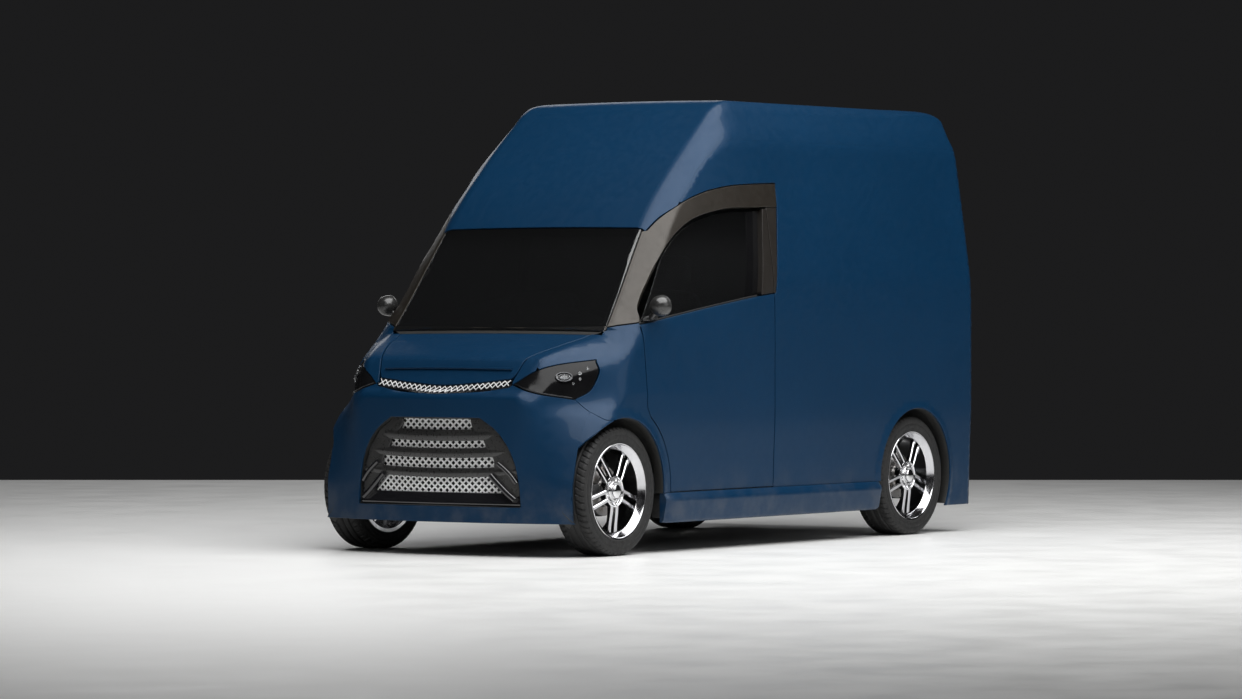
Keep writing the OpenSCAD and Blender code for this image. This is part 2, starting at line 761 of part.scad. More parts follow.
// Rim about Z, outer face up.
module rim() color(chrome) {
    rotate_extrude($fn = 96) polygon([
        [rim_r - 18, -rim_w / 2], [rim_r, -rim_w / 2], [rim_r, -rim_w / 2 + 9],
        [rim_r - 12, -rim_w / 2 + 13], [rim_r - 14, rim_w / 2 - 16],
        [rim_r, rim_w / 2 - 9], [rim_r, rim_w / 2], [rim_r - 6, rim_w / 2],
        [rim_r - 26, rim_w / 2 - 26], [rim_r - 22, -rim_w / 2 + 8]]);
    difference() {
        translate([0, 0, rim_w / 2 - 66]) cylinder(r = 62, h = 52, $fn = 96);
        translate([0, 0, rim_w / 2 - 80]) cylinder(r = spindle_r + 0.05, h = 46, $fn = 64);
    }
    translate([0, 0, rim_w / 2 - 14]) cylinder(r = 24, h = 12, $fn = 48);
    for (k = [0:spokes - 1]) rotate([0, 0, 360 / spokes * k])
        for (s = [-1, 1]) translate([58, s * spoke_gap / 2 - 6, rim_w / 2 - 50])
            cube([rim_r - 24 - 58, 12, 26]);
    // Brake disc on the hub.
    translate([0, 0, rim_w / 2 - 88]) difference() {
        cylinder(r = 108, h = 10, $fn = 96);
        translate([0, 0, -1]) cylinder(r = spindle_r + 4, h = 12, $fn = 64);
        for (k = [0:17]) rotate([0, 0, 20 * k]) translate([90, 0, -1])
            cylinder(r = 4, h = 12, $fn = 12);
    }
    translate([0, 0, rim_w / 2 - 80]) difference() {
        cylinder(r = 52, h = 16, $fn = 64);
        translate([0, 0, -1]) cylinder(r = spindle_r + 4, h = 18, $fn = 64);
    }
}
module tyre() color(rubber) {
    r = tyre_d / 2;
    w = tyre_w / 2;
    rotate_extrude($fn = 128) polygon(concat(
        [[rim_r, -w + 6], [rim_r + 14, -w + 1], [rim_r + 34, -w]],
        [for (a = [-90:15:0]) [r - 22 + 22 * cos(a), -w + 22 + 22 * sin(a)]],
        [for (a = [0:15:90]) [r - 22 + 22 * cos(a), w - 22 + 22 * sin(a)]],
        [[rim_r + 34, w], [rim_r + 14, w - 1], [rim_r, w - 6],
         [rim_r, w - 14], [rim_r + 16, w - 18], [rim_r + 30, w - 20],
         [rim_r + 44, w - 34], [rim_r + 44, -w + 34], [rim_r + 30, -w + 20],
         [rim_r + 16, -w + 18], [rim_r, -w + 14]]));
}

module rim_front_left() at_wheel(front_axle_x, 1) rim();
module rim_front_right() at_wheel(front_axle_x, -1) rim();
module rim_rear_left() at_wheel(rear_axle_x, 1) rim();
module rim_rear_right() at_wheel(rear_axle_x, -1) rim();
module tyre_front_left() at_wheel(front_axle_x, 1) tyre();
module tyre_front_right() at_wheel(front_axle_x, -1) tyre();
module tyre_rear_left() at_wheel(rear_axle_x, 1) tyre();
module tyre_rear_right() at_wheel(rear_axle_x, -1) tyre();

chassis_frame();
battery_pack();
drive_motor();
rear_axle();
front_suspension();
floor_pan();
firewall();
front_bumper();
grille();
headlights();
fender_left();
fender_right();
windscreen();
pillar_arch_left();
pillar_arch_right();
roof_panel();
side_panel_left();
side_panel_right();
sills();
bulkhead();
dashboard();
seats();
tail_lights();
rear_bumper();
hood();
door_left();
door_right();
door_glass_left();
door_glass_right();
mirror_left();
mirror_right();
rear_door_left();
rear_door_right();
knuckle_left();
knuckle_right();
steering_rack();
steering_wheel();
rim_front_left();
rim_front_right();
rim_rear_left();
rim_rear_right();
tyre_front_left();
tyre_front_right();
tyre_rear_left();
tyre_rear_right();
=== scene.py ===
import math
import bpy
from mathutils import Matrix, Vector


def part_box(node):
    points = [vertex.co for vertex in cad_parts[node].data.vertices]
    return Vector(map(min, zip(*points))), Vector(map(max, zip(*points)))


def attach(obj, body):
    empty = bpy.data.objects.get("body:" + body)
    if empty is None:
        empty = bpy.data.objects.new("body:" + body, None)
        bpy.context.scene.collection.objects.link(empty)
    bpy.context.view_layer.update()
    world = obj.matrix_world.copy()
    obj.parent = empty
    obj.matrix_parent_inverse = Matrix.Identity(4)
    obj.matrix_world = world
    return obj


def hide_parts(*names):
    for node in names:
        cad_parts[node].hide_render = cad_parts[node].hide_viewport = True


bl_info = {
    "name": "Electric Cargo Van",
    "version": (1, 0, 0),
    "blender": (4, 5, 0),
    "location": "3D View > Sidebar > Van",
    "description": "Builds the finished bodywork, glass, wheels, cab and running gear of an electric cargo van",
    "category": "Object",
}

import bmesh
import bpy
import numpy as np
from bpy.props import FloatProperty, FloatVectorProperty, IntProperty, PointerProperty
from mathutils import Matrix, Vector
from mathutils.geometry import delaunay_2d_cdt

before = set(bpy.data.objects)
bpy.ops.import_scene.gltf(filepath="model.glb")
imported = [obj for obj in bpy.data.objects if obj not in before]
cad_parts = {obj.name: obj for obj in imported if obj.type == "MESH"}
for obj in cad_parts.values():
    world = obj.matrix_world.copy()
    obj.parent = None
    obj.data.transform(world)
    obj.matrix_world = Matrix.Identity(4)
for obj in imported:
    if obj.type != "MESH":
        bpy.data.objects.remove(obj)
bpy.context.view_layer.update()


# ---------------------------------------------------------------- places read from the frame
def node_centre(node):
    low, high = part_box(node)
    return (low + high) / 2


def node_size(node):
    low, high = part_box(node)
    return high - low


WHEELS = ("front_left", "front_right", "rear_left", "rear_right")
TYRE_SIZE = node_size("tyre_front_left")
FRONT_X = node_centre("tyre_front_left").x
AFT_X = node_centre("tyre_rear_left").x
AXLE_Z = node_centre("tyre_front_left").z
TYRE_R = TYRE_SIZE.z / 2
TYRE_W = TYRE_SIZE.y
RIM_R = node_size("rim_front_left").z / 2
RIM_W = TYRE_W - 0.008
REAR_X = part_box("side_panel_left")[0].x
ROOF_Z = 2.012
SHUT_X = 0.085
SILL_Z = 0.130
REAR_POST_Y = 0.572


# ------------------------------------------------ sizes and colours a user would change
def length(name, description, default):
    return FloatProperty(name=name, description=description, default=default, unit="LENGTH")


def colour_of(name, description, default):
    return FloatVectorProperty(
        name=name, description=description, subtype="COLOR", size=3, default=default, min=0, max=1)


class VanBodySizes(bpy.types.PropertyGroup):
    arch_radius: length("Wheel opening radius", "Radius of the round wheel openings", 0.318)
    lip_height: length("Arch lip", "How far the lips round the wheel openings stand out", 0.009)
    lip_width: length("Arch lip width", "Width over which a lip fades into the side", 0.036)
    panel_step: length("Panel mesh step", "Spacing of the mesh points on the body panels", 0.024)
    hem: length("Panel edge radius", "Radius of the rolled edge of each panel", 0.0025)


class VanWheelSizes(bpy.types.PropertyGroup):
    spoke_pairs: IntProperty(
        name="Spoke pairs", description="Number of twin spokes on a rim", default=5)
    spoke_width: length("Spoke width", "Width of one spoke of a pair", 0.015)
    spoke_gap: length("Spoke gap", "Distance between the middles of twin spokes", 0.038)
    nuts: IntProperty(
        name="Wheel nuts", description="Number of nuts round the hub", default=5)
    tread_blocks: IntProperty(
        name="Tread blocks", description="Number of tread blocks round a tyre", default=60)
    groove_depth: length("Tread depth", "Depth of the tread grooves", 0.006)


class VanGrilleSizes(bpy.types.PropertyGroup):
    pitch: length("Mesh pitch", "Width of one diamond of the mesh", 0.0330)
    wire: length("Mesh wire", "Width of the strips between the diamonds", 0.0080)
    recess: length("Mesh recess", "How far the mesh lies behind the nose", 0.026)


class VanColours(bpy.types.PropertyGroup):
    paint: colour_of("Body paint", "Colour of the metallic body paint", (0.0015, 0.0235, 0.062))
    arch: colour_of(
        "Pillar arch", "Colour of the satin arch round the side window", (0.026, 0.0215, 0.0165))
    trim: colour_of("Black trim", "Colour of the moulded black parts", (0.017, 0.017, 0.016))
    glass: colour_of("Glass tint", "Tint of the windows", (0.13, 0.135, 0.14))
    fabric: colour_of("Seat fabric", "Colour of the seat covers", (0.055, 0.057, 0.062))


class VanStageSizes(bpy.types.PropertyGroup):
    floor_size: length("Floor size", "Side of the square floor", 20.0)
    key_power: FloatProperty(
        name="Key light", description="Power of the large overhead light", default=860.0,
        unit="POWER")
    fill_power: FloatProperty(
        name="Fill light", description="Power of each side light", default=70.0, unit="POWER")
    lens: FloatProperty(
        name="Lens", description="Focal length of the camera", default=146.76, unit="CAMERA")


GROUPS = {
    "van_body": VanBodySizes, "van_wheels": VanWheelSizes, "van_grille": VanGrilleSizes,
    "van_colours": VanColours, "van_stage": VanStageSizes}


def sizes(group):
    return getattr(bpy.context.scene, group)


# ---------------------------------------------------------------- body surface
class Curve:
    """Smooth curve through points that never overshoots them (monotone cubic)."""

    def __init__(self, *points):
        self.x = np.array([p[0] for p in points], float)
        self.y = np.array([p[1] for p in points], float)
        step = np.diff(self.x)
        rise = np.diff(self.y) / step
        self.slope = np.concatenate([[rise[0]], np.zeros(len(rise) - 1), [rise[-1]]])
        same = rise[:-1] * rise[1:] > 0
        w1 = 2 * step[1:] + step[:-1]
        w2 = step[1:] + 2 * step[:-1]
        safe = np.where(same, rise[:-1] * rise[1:], 1)
        self.slope[1:-1] = np.where(
            same, (w1 + w2) * safe / (w1 * rise[1:] + w2 * rise[:-1] + 1e-12 * (~same)), 0)

    def __call__(self, x):
        x = np.clip(np.asarray(x, float), self.x[0], self.x[-1])
        k = np.clip(np.searchsorted(self.x, x, side="right") - 1, 0, len(self.x) - 2)
        h = self.x[k + 1] - self.x[k]
        t = (x - self.x[k]) / h
        return (
            self.y[k] * (1 + 2 * t) * (1 - t) ** 2 + self.slope[k] * h * t * (1 - t) ** 2
            + self.y[k + 1] * t * t * (3 - 2 * t) - self.slope[k + 1] * h * t * t * (1 - t))


# Height of the top surface along the body: roof, slope, windscreen, hood, nose.
top_line = Curve(
    (REAR_X, ROOF_Z - 0.050), (REAR_X + 0.02, ROOF_Z - 0.030), (REAR_X + 0.06, ROOF_Z - 0.015),
    (REAR_X + 0.14, ROOF_Z - 0.004), (REAR_X + 0.26, ROOF_Z), (0.160, ROOF_Z),
    (0.233, ROOF_Z - 0.012),
    (0.295, ROOF_Z - 0.040), (0.350, 1.928), (0.470, 1.830), (0.580, 1.734), (0.720, 1.605),
    (0.800, 1.520), (0.880, 1.424), (1.225, 0.980), (1.244, 0.960), (1.262, 0.952), (1.400, 0.912),
    (1.546, 0.858), (1.556, 0.852), (1.564, 0.842), (1.622, 0.749), (1.650, 0.712), (1.705, 0.700))
# Half width of the top surface, out to the inner crease.
inner_crease = Curve(
    (REAR_X, 0.550), (REAR_X + 0.3, 0.545), (REAR_X + 0.7, 0.528), (0.233, 0.525), (0.880, 0.534),
    (1.240, 0.575), (1.400, 0.530), (1.556, 0.470), (1.622, 0.440), (1.705, 0.420))
# Height of the outer crease, where the chamfer meets the side wall.
outer_crease = Curve(
    (REAR_X, ROOF_Z - 0.190), (REAR_X + 0.1, ROOF_Z - 0.180), (0.0, ROOF_Z - 0.182),
    (0.280, ROOF_Z - 0.184), (0.391, 1.793), (0.525, 1.709), (0.618, 1.619), (0.713, 1.530),
    (0.793, 1.437), (1.153, 0.973), (1.235, 0.890), (1.383, 0.825), (1.556, 0.745), (1.650, 0.660),
    (1.705, 0.640))
# Draw-in of the side wall by height, and the extra draw-in towards the front.
wall_line = Curve(
    (0.130, 0.015), (0.387, 0.008), (0.628, 0.0), (1.000, 0.0), (1.160, 0.003), (1.398, 0.031),
    (1.591, 0.059), (1.852, 0.099), (2.000, 0.127))
front_taper = Curve((0.700, 0.0), (1.000, 0.015), (1.420, 0.080), (2.000, 0.170))
# Where the slanted nose corner stands at 660 mm from the centre line, by height.
corner_line = Curve(
    (0.164, 1.592), (0.298, 1.595), (0.390, 1.576), (0.478, 1.551), (0.593, 1.493), (0.671, 1.419),
    (0.849, 1.346), (1.000, 1.200))
HALF_WIDTH = 0.727
CROWN = 0.0055
NOSE_X = 1.705
CREASE_X = 1.665
CORNER_Y = 0.465
CORNER_RUN = 0.195
TAPER_FROM = 0.100
TAPER_TO = 1.140
TAPER_RUN = 0.780
SHARP_EDGE = 0.014
NOSE_EDGE = 0.030
REAR_EDGE = 0.050


def blend_min(a, b, width):
    """The smaller of two values, rounded over where they are closer than width."""
    near = np.maximum(width - np.abs(a - b), 0) / width
    return np.minimum(a, b) - near * near * width * 0.25


def smooth(t):
    t = np.clip(t, 0, 1)
    return t * t * (3 - 2 * t)


def wall_half(x, z):
    run = (np.clip(x, TAPER_FROM, TAPER_TO) - TAPER_FROM) / TAPER_RUN
    return HALF_WIDTH - wall_line(z) - front_taper(z) * run * run


def corner_slope(z):
    return (CREASE_X - corner_line(z)) / CORNER_RUN


def slant_half(x, z):
    return CORNER_Y + (CREASE_X - x) / corner_slope(z)


def arch_lip(x, z):
    body = sizes("van_body")
    total = 0
    for centre in (FRONT_X, AFT_X):
        out = np.hypot(x - centre, z - AXLE_Z) - body.arch_radius
        total = total + body.lip_height * smooth(1 - out / body.lip_width)
    return total


def depth(p):
    """How far points lie inside the body surface, positive inside."""
    x, y, z = p[:, 0], np.abs(p[:, 1]), p[:, 2]
    slant = (slant_half(x, z) - y) / np.sqrt(1 + corner_slope(z) ** -2)
    side = blend_min(wall_half(x, z) - y + arch_lip(x, z), slant, NOSE_EDGE)
    top, crease = top_line(x), outer_crease(x)
    fall = (top_line(x + 0.004) - top_line(x - 0.004)) / 0.008
    outer = np.minimum(wall_half(x, crease), slant_half(x, crease))
    inner = np.minimum(inner_crease(x), outer - 0.010)
    roof = (top + CROWN * (1 - (y / inner) ** 2) - z) / np.sqrt(1 + fall * fall)
    rise, run = top - crease, outer - inner
    chamfer = -((y - inner) * rise + (z - top) * run) / np.hypot(rise, run)
    front = NOSE_X - (NOSE_X - CREASE_X) * (y / CORNER_Y) ** 2 - x
    total = blend_min(blend_min(side, chamfer, SHARP_EDGE), roof, SHARP_EDGE)
    return blend_min(blend_min(total, front, NOSE_EDGE), x - REAR_X, REAR_EDGE)


def outward(p):
    """Unit normals of the body surface."""
    e = 2e-4
    grad = np.stack([
        depth(p + np.eye(3)[k] * e) - depth(p - np.eye(3)[k] * e) for k in range(3)], axis=1)
    return -grad / np.linalg.norm(grad, axis=1)[:, None]


class View:
    """A direction from which part of the body surface is drawn and cast back."""

    def __init__(self, right, up, ahead, start):
        self.right, self.up = np.array(right, float), np.array(up, float)
        self.ahead, self.start = np.array(ahead, float), start

    def flat(self, points):
        points = np.asarray(points, float)
        return np.stack([points @ self.right, points @ self.up], axis=1)

    def cast(self, flat):
        flat = np.asarray(flat, float).reshape(-1, 2)
        origin = flat[:, :1] * self.right + flat[:, 1:] * self.up + self.start * self.ahead
        low, high = np.zeros(len(flat)), np.full(len(flat), 2.0)
        for _ in range(30):
            middle = (low + high) / 2
            inside = depth(origin + self.ahead * middle[:, None]) > 0
            low, high = np.where(inside, middle, low), np.where(inside, high, middle)
        return origin + self.ahead * low[:, None]


SIDE = View((1, 0, 0), (0, 0, 1), (0, 1, 0), 0.02)
ABOVE = View((1, 0, 0), (0, 1, 0), (0, 0, 1), 0.60)
NOSE = View((0, 1, 0), (0, 0, 1), (1, 0, 0), 1.0)
TAIL = View((0, 1, 0), (0, 0, 1), (-1, 0, 0), 1.2)
CORNER = View((0, 1, 0), (-0.6, 0, 0.8), (0.8, 0, 0.6), 1.35)


def arc(centre, radius, start, end, count):
    """Points round a circle, from a start angle to an end angle in degrees."""
    return [
        (centre[0] + radius * math.cos(math.radians(a)),
         centre[1] + radius * math.sin(math.radians(a)))
        for a in np.linspace(start, end, count)]


# ---------------------------------------------------------------- outlines and panels
def on_side(points, inset=0.0):
    return surface_points(SIDE, points, inset)


def on_top(points, inset=0.0):
    return surface_points(ABOVE, points, inset)


def on_nose(points, inset=0.0):
    return surface_points(NOSE, points, inset)


def surface_points(view, points, inset=0.0):
    points = view.cast(points)
    return [tuple(p) for p in points - outward(points) * inset]


def mirrored(points):
    return [(p[0], -p[1], p[2]) for p in points]


def spread(points, step, closed=True):
    """The same outline with its long sides divided."""
    points = np.asarray(points, float)
    ends = np.roll(points, -1, axis=0) if closed else points[1:]
    out = []
    for a, b in zip(points, ends):
        n = max(1, math.ceil(np.linalg.norm(b - a) / step))
        out += [a + (b - a) * k / n for k in range(n)]
    if not closed:
        out.append(points[-1])
    return np.array(out)


def within(points, loop):
    """Which flat points lie inside a closed loop."""
    x, y = points[:, 0], points[:, 1]
    inside = np.zeros(len(points), bool)
    for a, b in zip(loop, np.roll(loop, -1, axis=0)):
        if a[1] == b[1]:
            continue
        crosses = (a[1] > y) != (b[1] > y)
        inside ^= crosses & (x < (b[0] - a[0]) * (y - a[1]) / (b[1] - a[1]) + a[0])
    return inside


def away_from(points, loop, distance):
    """Which flat points keep a distance from a closed loop."""
    keep = np.ones(len(points), bool)
    for a, b in zip(loop, np.roll(loop, -1, axis=0)):
        side = b - a
        t = np.clip((points - a) @ side / max(side @ side, 1e-12), 0, 1)
        keep &= np.linalg.norm(points - a - t[:, None] * side, axis=1) > distance
    return keep


def turning(loop):
    nxt = np.roll(loop, -1, axis=0)
    return np.sum(loop[:, 0] * nxt[:, 1] - nxt[:, 0] * loop[:, 1])


def fill(loops, step):
    """Triangles between an outer loop and its holes: points, faces and the loops' point numbers."""
    outer = loops[0] if turning(loops[0]) > 0 else loops[0][::-1]
    loops = [outer] + [hole if turning(hole) < 0 else hole[::-1] for hole in loops[1:]]
    low, high = outer.min(0), outer.max(0)
    grid = np.stack(np.meshgrid(
        np.arange(low[0] + step / 2, high[0], step), np.arange(low[1] + step / 2, high[1], step),
        indexing="ij"), axis=-1).reshape(-1, 2)
    grid[:, 0] += np.where(np.arange(len(grid)) % 2, 0.1, -0.1) * step
    keep = within(grid, outer)
    for loop in loops:
        keep &= away_from(grid, loop, step * 0.45)
    for hole in loops[1:]:
        keep &= ~within(grid, hole)
    points = np.vstack(loops + [grid[keep]])
    edges, marks, at = [], [], 0
    for loop in loops:
        number = list(range(at, at + len(loop)))
        edges += [(a, b) for a, b in zip(number, number[1:] + number[:1])]
        marks.append(number)
        at += len(loop)
    made = delaunay_2d_cdt([Vector(p) for p in points], edges, [], 0, 1e-6)
    flat = np.array([v[:] for v in made[0]])
    place = {k: n for n, originals in enumerate(made[3]) for k in originals}
    faces = np.array([f for f in made[2] if len(f) == 3])
    middle = flat[faces].mean(axis=1)
    keep = within(middle, outer)
    for hole in loops[1:]:
        keep &= ~within(middle, hole)
    a, b, c = (flat[faces[:, k]] for k in range(3))
    area = (b - a)[:, 0] * (c - a)[:, 1] - (b - a)[:, 1] * (c - a)[:, 0]
    faces = np.where((area < 0)[:, None], faces[:, ::-1], faces)[keep & (np.abs(area) > 1e-10)]
    return flat, faces, [[place[k] for k in number] for number in marks]


def panel_mesh(view, outline, thickness, holes=(), inset=0.0, hem=None, step=None, relief=None):
    """A skin of even thickness on the body surface with rolled edges.
    Returns points, faces and one normal for each face corner."""
    body = sizes("van_body")
    step = step or body.panel_step
    hem = body.hem if hem is None else hem
    loops = [spread(view.flat(loop), step) for loop in (outline, *holes)]
    flat, faces, rings = fill(loops, step)

    def place(at):
        on = view.cast(at)
        sunk = inset if relief is None else inset + relief(at)
        return on - outward(on) * np.reshape(sunk, (-1, 1) if np.ndim(sunk) else ())

    points = place(flat)
    if relief is None:
        normal = outward(view.cast(flat))
    else:
        e = 4e-4
        across = place(flat + (e, 0)) - place(flat - (e, 0))
        along = place(flat + (0, e)) - place(flat - (0, e))
        normal = np.cross(across, along)
        normal /= np.linalg.norm(normal, axis=1)[:, None]
        normal *= np.sign(np.sum(normal * outward(view.cast(flat)), axis=1))[:, None]
    a, b, c = (points[faces[:, k]] for k in range(3))
    facing = np.sign(np.sum(np.cross(b - a, c - a).mean(0) * normal.mean(0)))
    base = points - normal * thickness
    count = len(points)
    verts = [points, base]
    polys = [tuple(f) if facing > 0 else tuple(f[::-1]) for f in faces]
    corner = [normal[list(f)] for f in polys]
    polys += [tuple(k + count for k in f[::-1]) for f in polys]
    corner += [-c[::-1] for c in corner]
    at = 2 * count
    for ring in rings:
        here, n = points[ring], normal[ring]
        run = np.roll(here, -1, axis=0) - np.roll(here, 1, axis=0)
        out = np.cross(run, n) * facing
        out /= np.linalg.norm(out, axis=1)[:, None] + 1e-12
        fold = hem(here) if callable(hem) else hem
        verts.append(here - n * fold)
        points[ring] = here - out * fold
        size = len(ring)
        for k in range(size):
            m = (k + 1) % size
            skin, rim, back = (ring[k], ring[m]), (at + k, at + m), (ring[k] + count,
                                                                     ring[m] + count)
            quads = (
                ((skin[1], skin[0], rim[0], rim[1]), (n[m], n[k], out[k], out[m])),
                ((rim[1], rim[0], back[0], back[1]), (out[m], out[k], out[k], out[m])))
            for quad, normals in quads:
                polys.append(quad if facing > 0 else quad[::-1])
                corner.append(np.array(normals if facing > 0 else normals[::-1]))
        at += size
    verts[0] = points
    return np.vstack(verts), polys, corner


def flipped(shape):
    """A panel's mirror image on the other side of the van."""
    points, polys, corner = shape
    turn = np.array([1, -1, 1])
    return points * turn, [p[::-1] for p in polys], [c[::-1] * turn for c in corner]


def joined(*shapes):
    """Several meshes as one. Each shape is points and faces, and for panels their normals."""
    points, polys, corner, at = [], [], [], 0
    for shape in shapes:
        points.append(np.asarray(shape[0], float))
        polys += [tuple(k + at for k in face) for face in shape[1]]
        if len(shape) > 2:
            corner += list(shape[2])
        at += len(shape[0])
    return (np.vstack(points), polys, corner) if corner else (np.vstack(points), polys)


# ---------------------------------------------------------------- finished pieces
def piece(name, shape, material, body, replaces=(), angle=38):
    """A finished piece of the van from a mesh, riding on a body."""
    mesh = bpy.data.meshes.new(name)
    mesh.from_pydata([tuple(p) for p in shape[0]], [], [tuple(int(k) for k in f) for f in shape[1]])
    mesh.materials.append(material)
    mesh.shade_smooth()
    if len(shape) > 2:
        mesh.normals_split_custom_set([tuple(n) for c in shape[2] for n in c])
    else:
        mesh.set_sharp_from_angle(angle=math.radians(angle))
    obj = bpy.data.objects.new(name, mesh)
    bpy.context.scene.collection.objects.link(obj)
    return settle(obj, body, replaces)


def settle(obj, body, replaces=()):
    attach(obj, body)
    if replaces:
        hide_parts(*replaces)
    return obj


def both(name, shape, material, bodies, replaces=None, angle=38):
    """The left piece and its mirror image. Bodies and nodes name their sides with a star."""
    for side in ("left", "right"):
        this = shape if side == "left" else mirror_shape(shape)
        nodes = [replaces.replace("*", side)] if replaces else []
        piece(f"{name}_{side}", this, material, bodies.replace("*", side), nodes, angle)


def mirror_shape(shape):
    if len(shape) > 2:
        return flipped(shape)
    return np.asarray(shape[0]) * (1, -1, 1), [tuple(f)[::-1] for f in shape[1]]


# ---------------------------------------------------------------- simple solids
def block(low, high, radius=0.004, segments=2):
    """Box with rounded edges."""
    low, high = np.minimum(low, high), np.maximum(low, high)
    bm = bmesh.new()
    bmesh.ops.create_cube(bm, size=1)
    for v in bm.verts:
        v.co = Vector((low + high) / 2 + np.array(v.co) * (high - low))
    radius = min(radius, 0.45 * float(np.min(high - low)))
    bmesh.ops.bevel(
        bm, geom=bm.edges[:], offset=radius, segments=segments, profile=0.5, affect="EDGES")
    return taken(bm)


def taken(bm):
    bmesh.ops.recalc_face_normals(bm, faces=bm.faces[:])
    points = np.array([v.co[:] for v in bm.verts])
    polys = [tuple(v.index for v in f.verts) for f in bm.faces]
    bm.free()
    return points, polys


def lathe(profile, segments=96, closed=True):
    """Solid turned round the Y axis from points (radius, y). Points on the axis close it."""
    rings = []
    points = []
    angles = np.linspace(0, 2 * math.pi, segments, endpoint=False)
    for radius, y in profile:
        if radius < 1e-6:
            rings.append([len(points)] * segments)
            points.append((0, y, 0))
        else:
            rings.append(list(range(len(points), len(points) + segments)))
            points += [(radius * math.cos(a), y, radius * math.sin(a)) for a in angles]
    pairs = list(zip(rings, rings[1:])) + ([(rings[-1], rings[0])] if closed else [])
    polys = []
    for lower, upper in pairs:
        for k in range(segments):
            m = (k + 1) % segments
            face = [lower[k], lower[m], upper[m], upper[k]]
            face = [v for n, v in enumerate(face) if v not in face[:n]]
            if len(face) > 2:
                polys.append(tuple(face))
    return outside(np.array(points), polys)


def outside(points, polys):
    """The same mesh with its faces turned outwards."""
    bm = bmesh.new()
    verts = [bm.verts.new(p) for p in points]
    for face in polys:
        bm.faces.new([verts[k] for k in face])
    bm.verts.index_update()
    return taken(bm)


def lofted(rows, closed=False):
    """Rings of points joined one after the other, with capped ends or round to the first."""
    count, m = len(rows), len(rows[0])
    polys = []
    for k in range(count if closed else count - 1):
        a, b = k * m, (k + 1) % count * m
        polys += [(a + j, a + (j + 1) % m, b + (j + 1) % m, b + j) for j in range(m)]
    if not closed:
        polys += [tuple(range(m)), tuple((count - 1) * m + j for j in range(m - 1, -1, -1))]
    return outside(np.asarray(rows, float).reshape(-1, 3), polys)


def sweep(path, section, up=(0, 0, 1), closed=False, scale=None):
    """A section drawn along a path. The section's first axis lies across, its second one up."""
    path = np.asarray(path, float)
    count = len(path)
    if closed:
        ahead = np.roll(path, -1, axis=0) - np.roll(path, 1, axis=0)
    else:
        ahead = np.gradient(path, axis=0)
    ahead /= np.linalg.norm(ahead, axis=1)[:, None]
    across = np.cross(ahead, np.broadcast_to(np.asarray(up, float), ahead.shape))
    across /= np.linalg.norm(across, axis=1)[:, None]
    lift = np.cross(across, ahead)
    section = np.asarray(section, float)
    scale = np.ones(count) if scale is None else scale
    return lofted([
        path[k] + scale[k] * (section[:, :1] * across[k] + section[:, 1:] * lift[k])
        for k in range(count)], closed)


def round_section(radius, sides=10):
    return [(radius * math.cos(a), radius * math.sin(a))
            for a in np.linspace(0, 2 * math.pi, sides, endpoint=False)]


def bar_section(width, height, radius, steps=3):
    """Rectangle with rounded corners."""
    out = []
    for sx, sy, start in ((1, 1, 0), (-1, 1, 90), (-1, -1, 180), (1, -1, 270)):
        for k in range(steps + 1):
            a = math.radians(start + 90 * k / steps)
            out.append((
                sx * (width / 2 - radius) + radius * math.cos(a),
                sy * (height / 2 - radius) + radius * math.sin(a)))
    return out


def placed(shape, matrix):
    """A mesh moved by a matrix, turned right side out if the matrix mirrors it."""
    m = np.array(matrix)
    points = np.asarray(shape[0]) @ m[:3, :3].T + m[:3, 3]
    polys = shape[1] if np.linalg.det(m[:3, :3]) > 0 else [tuple(f)[::-1] for f in shape[1]]
    return points, polys


def extruded(points, start, end, axis="Y", radius=0.006):
    """Flat outline drawn out along an axis, with rounded edges."""
    bm = bmesh.new()
    order = {"Y": lambda u, v, w: (u, w, v), "X": lambda u, v, w: (w, u, v), "Z": lambda u, v,
             w: (u, v, w)}
    ends = [[bm.verts.new(order[axis](u, v, w)) for u, v in points] for w in (start, end)]
    bm.faces.new(ends[0])
    bm.faces.new(ends[1][::-1])
    for k in range(len(points)):
        m = (k + 1) % len(points)
        bm.faces.new((ends[0][k], ends[1][k], ends[1][m], ends[0][m]))
    if radius:
        bmesh.ops.bevel(
            bm, geom=bm.edges[:], offset=radius, segments=2, profile=0.5, affect="EDGES",
            clamp_overlap=True)
    bm.verts.index_update()
    return taken(bm)


# ---------------------------------------------------------------- finishes
class Nodes:
    """Short ways to add and link the nodes of a tree."""

    def node(self, kind, **settings):
        node = self.tree.nodes.new(kind)
        for key, value in settings.items():
            setattr(node, key, value)
        return node

    def link(self, source, target):
        self.tree.links.new(source, target)

    def fed(self, node, values):
        """The first output of a node whose inputs are numbers or links."""
        for socket, value in zip(node.inputs, values):
            if isinstance(value, (int, float)):
                socket.default_value = value
            else:
                self.link(value, socket)
        return node.outputs[0]

    def maths(self, operation, *values):
        return self.fed(self.node("ShaderNodeMath", operation=operation), values)


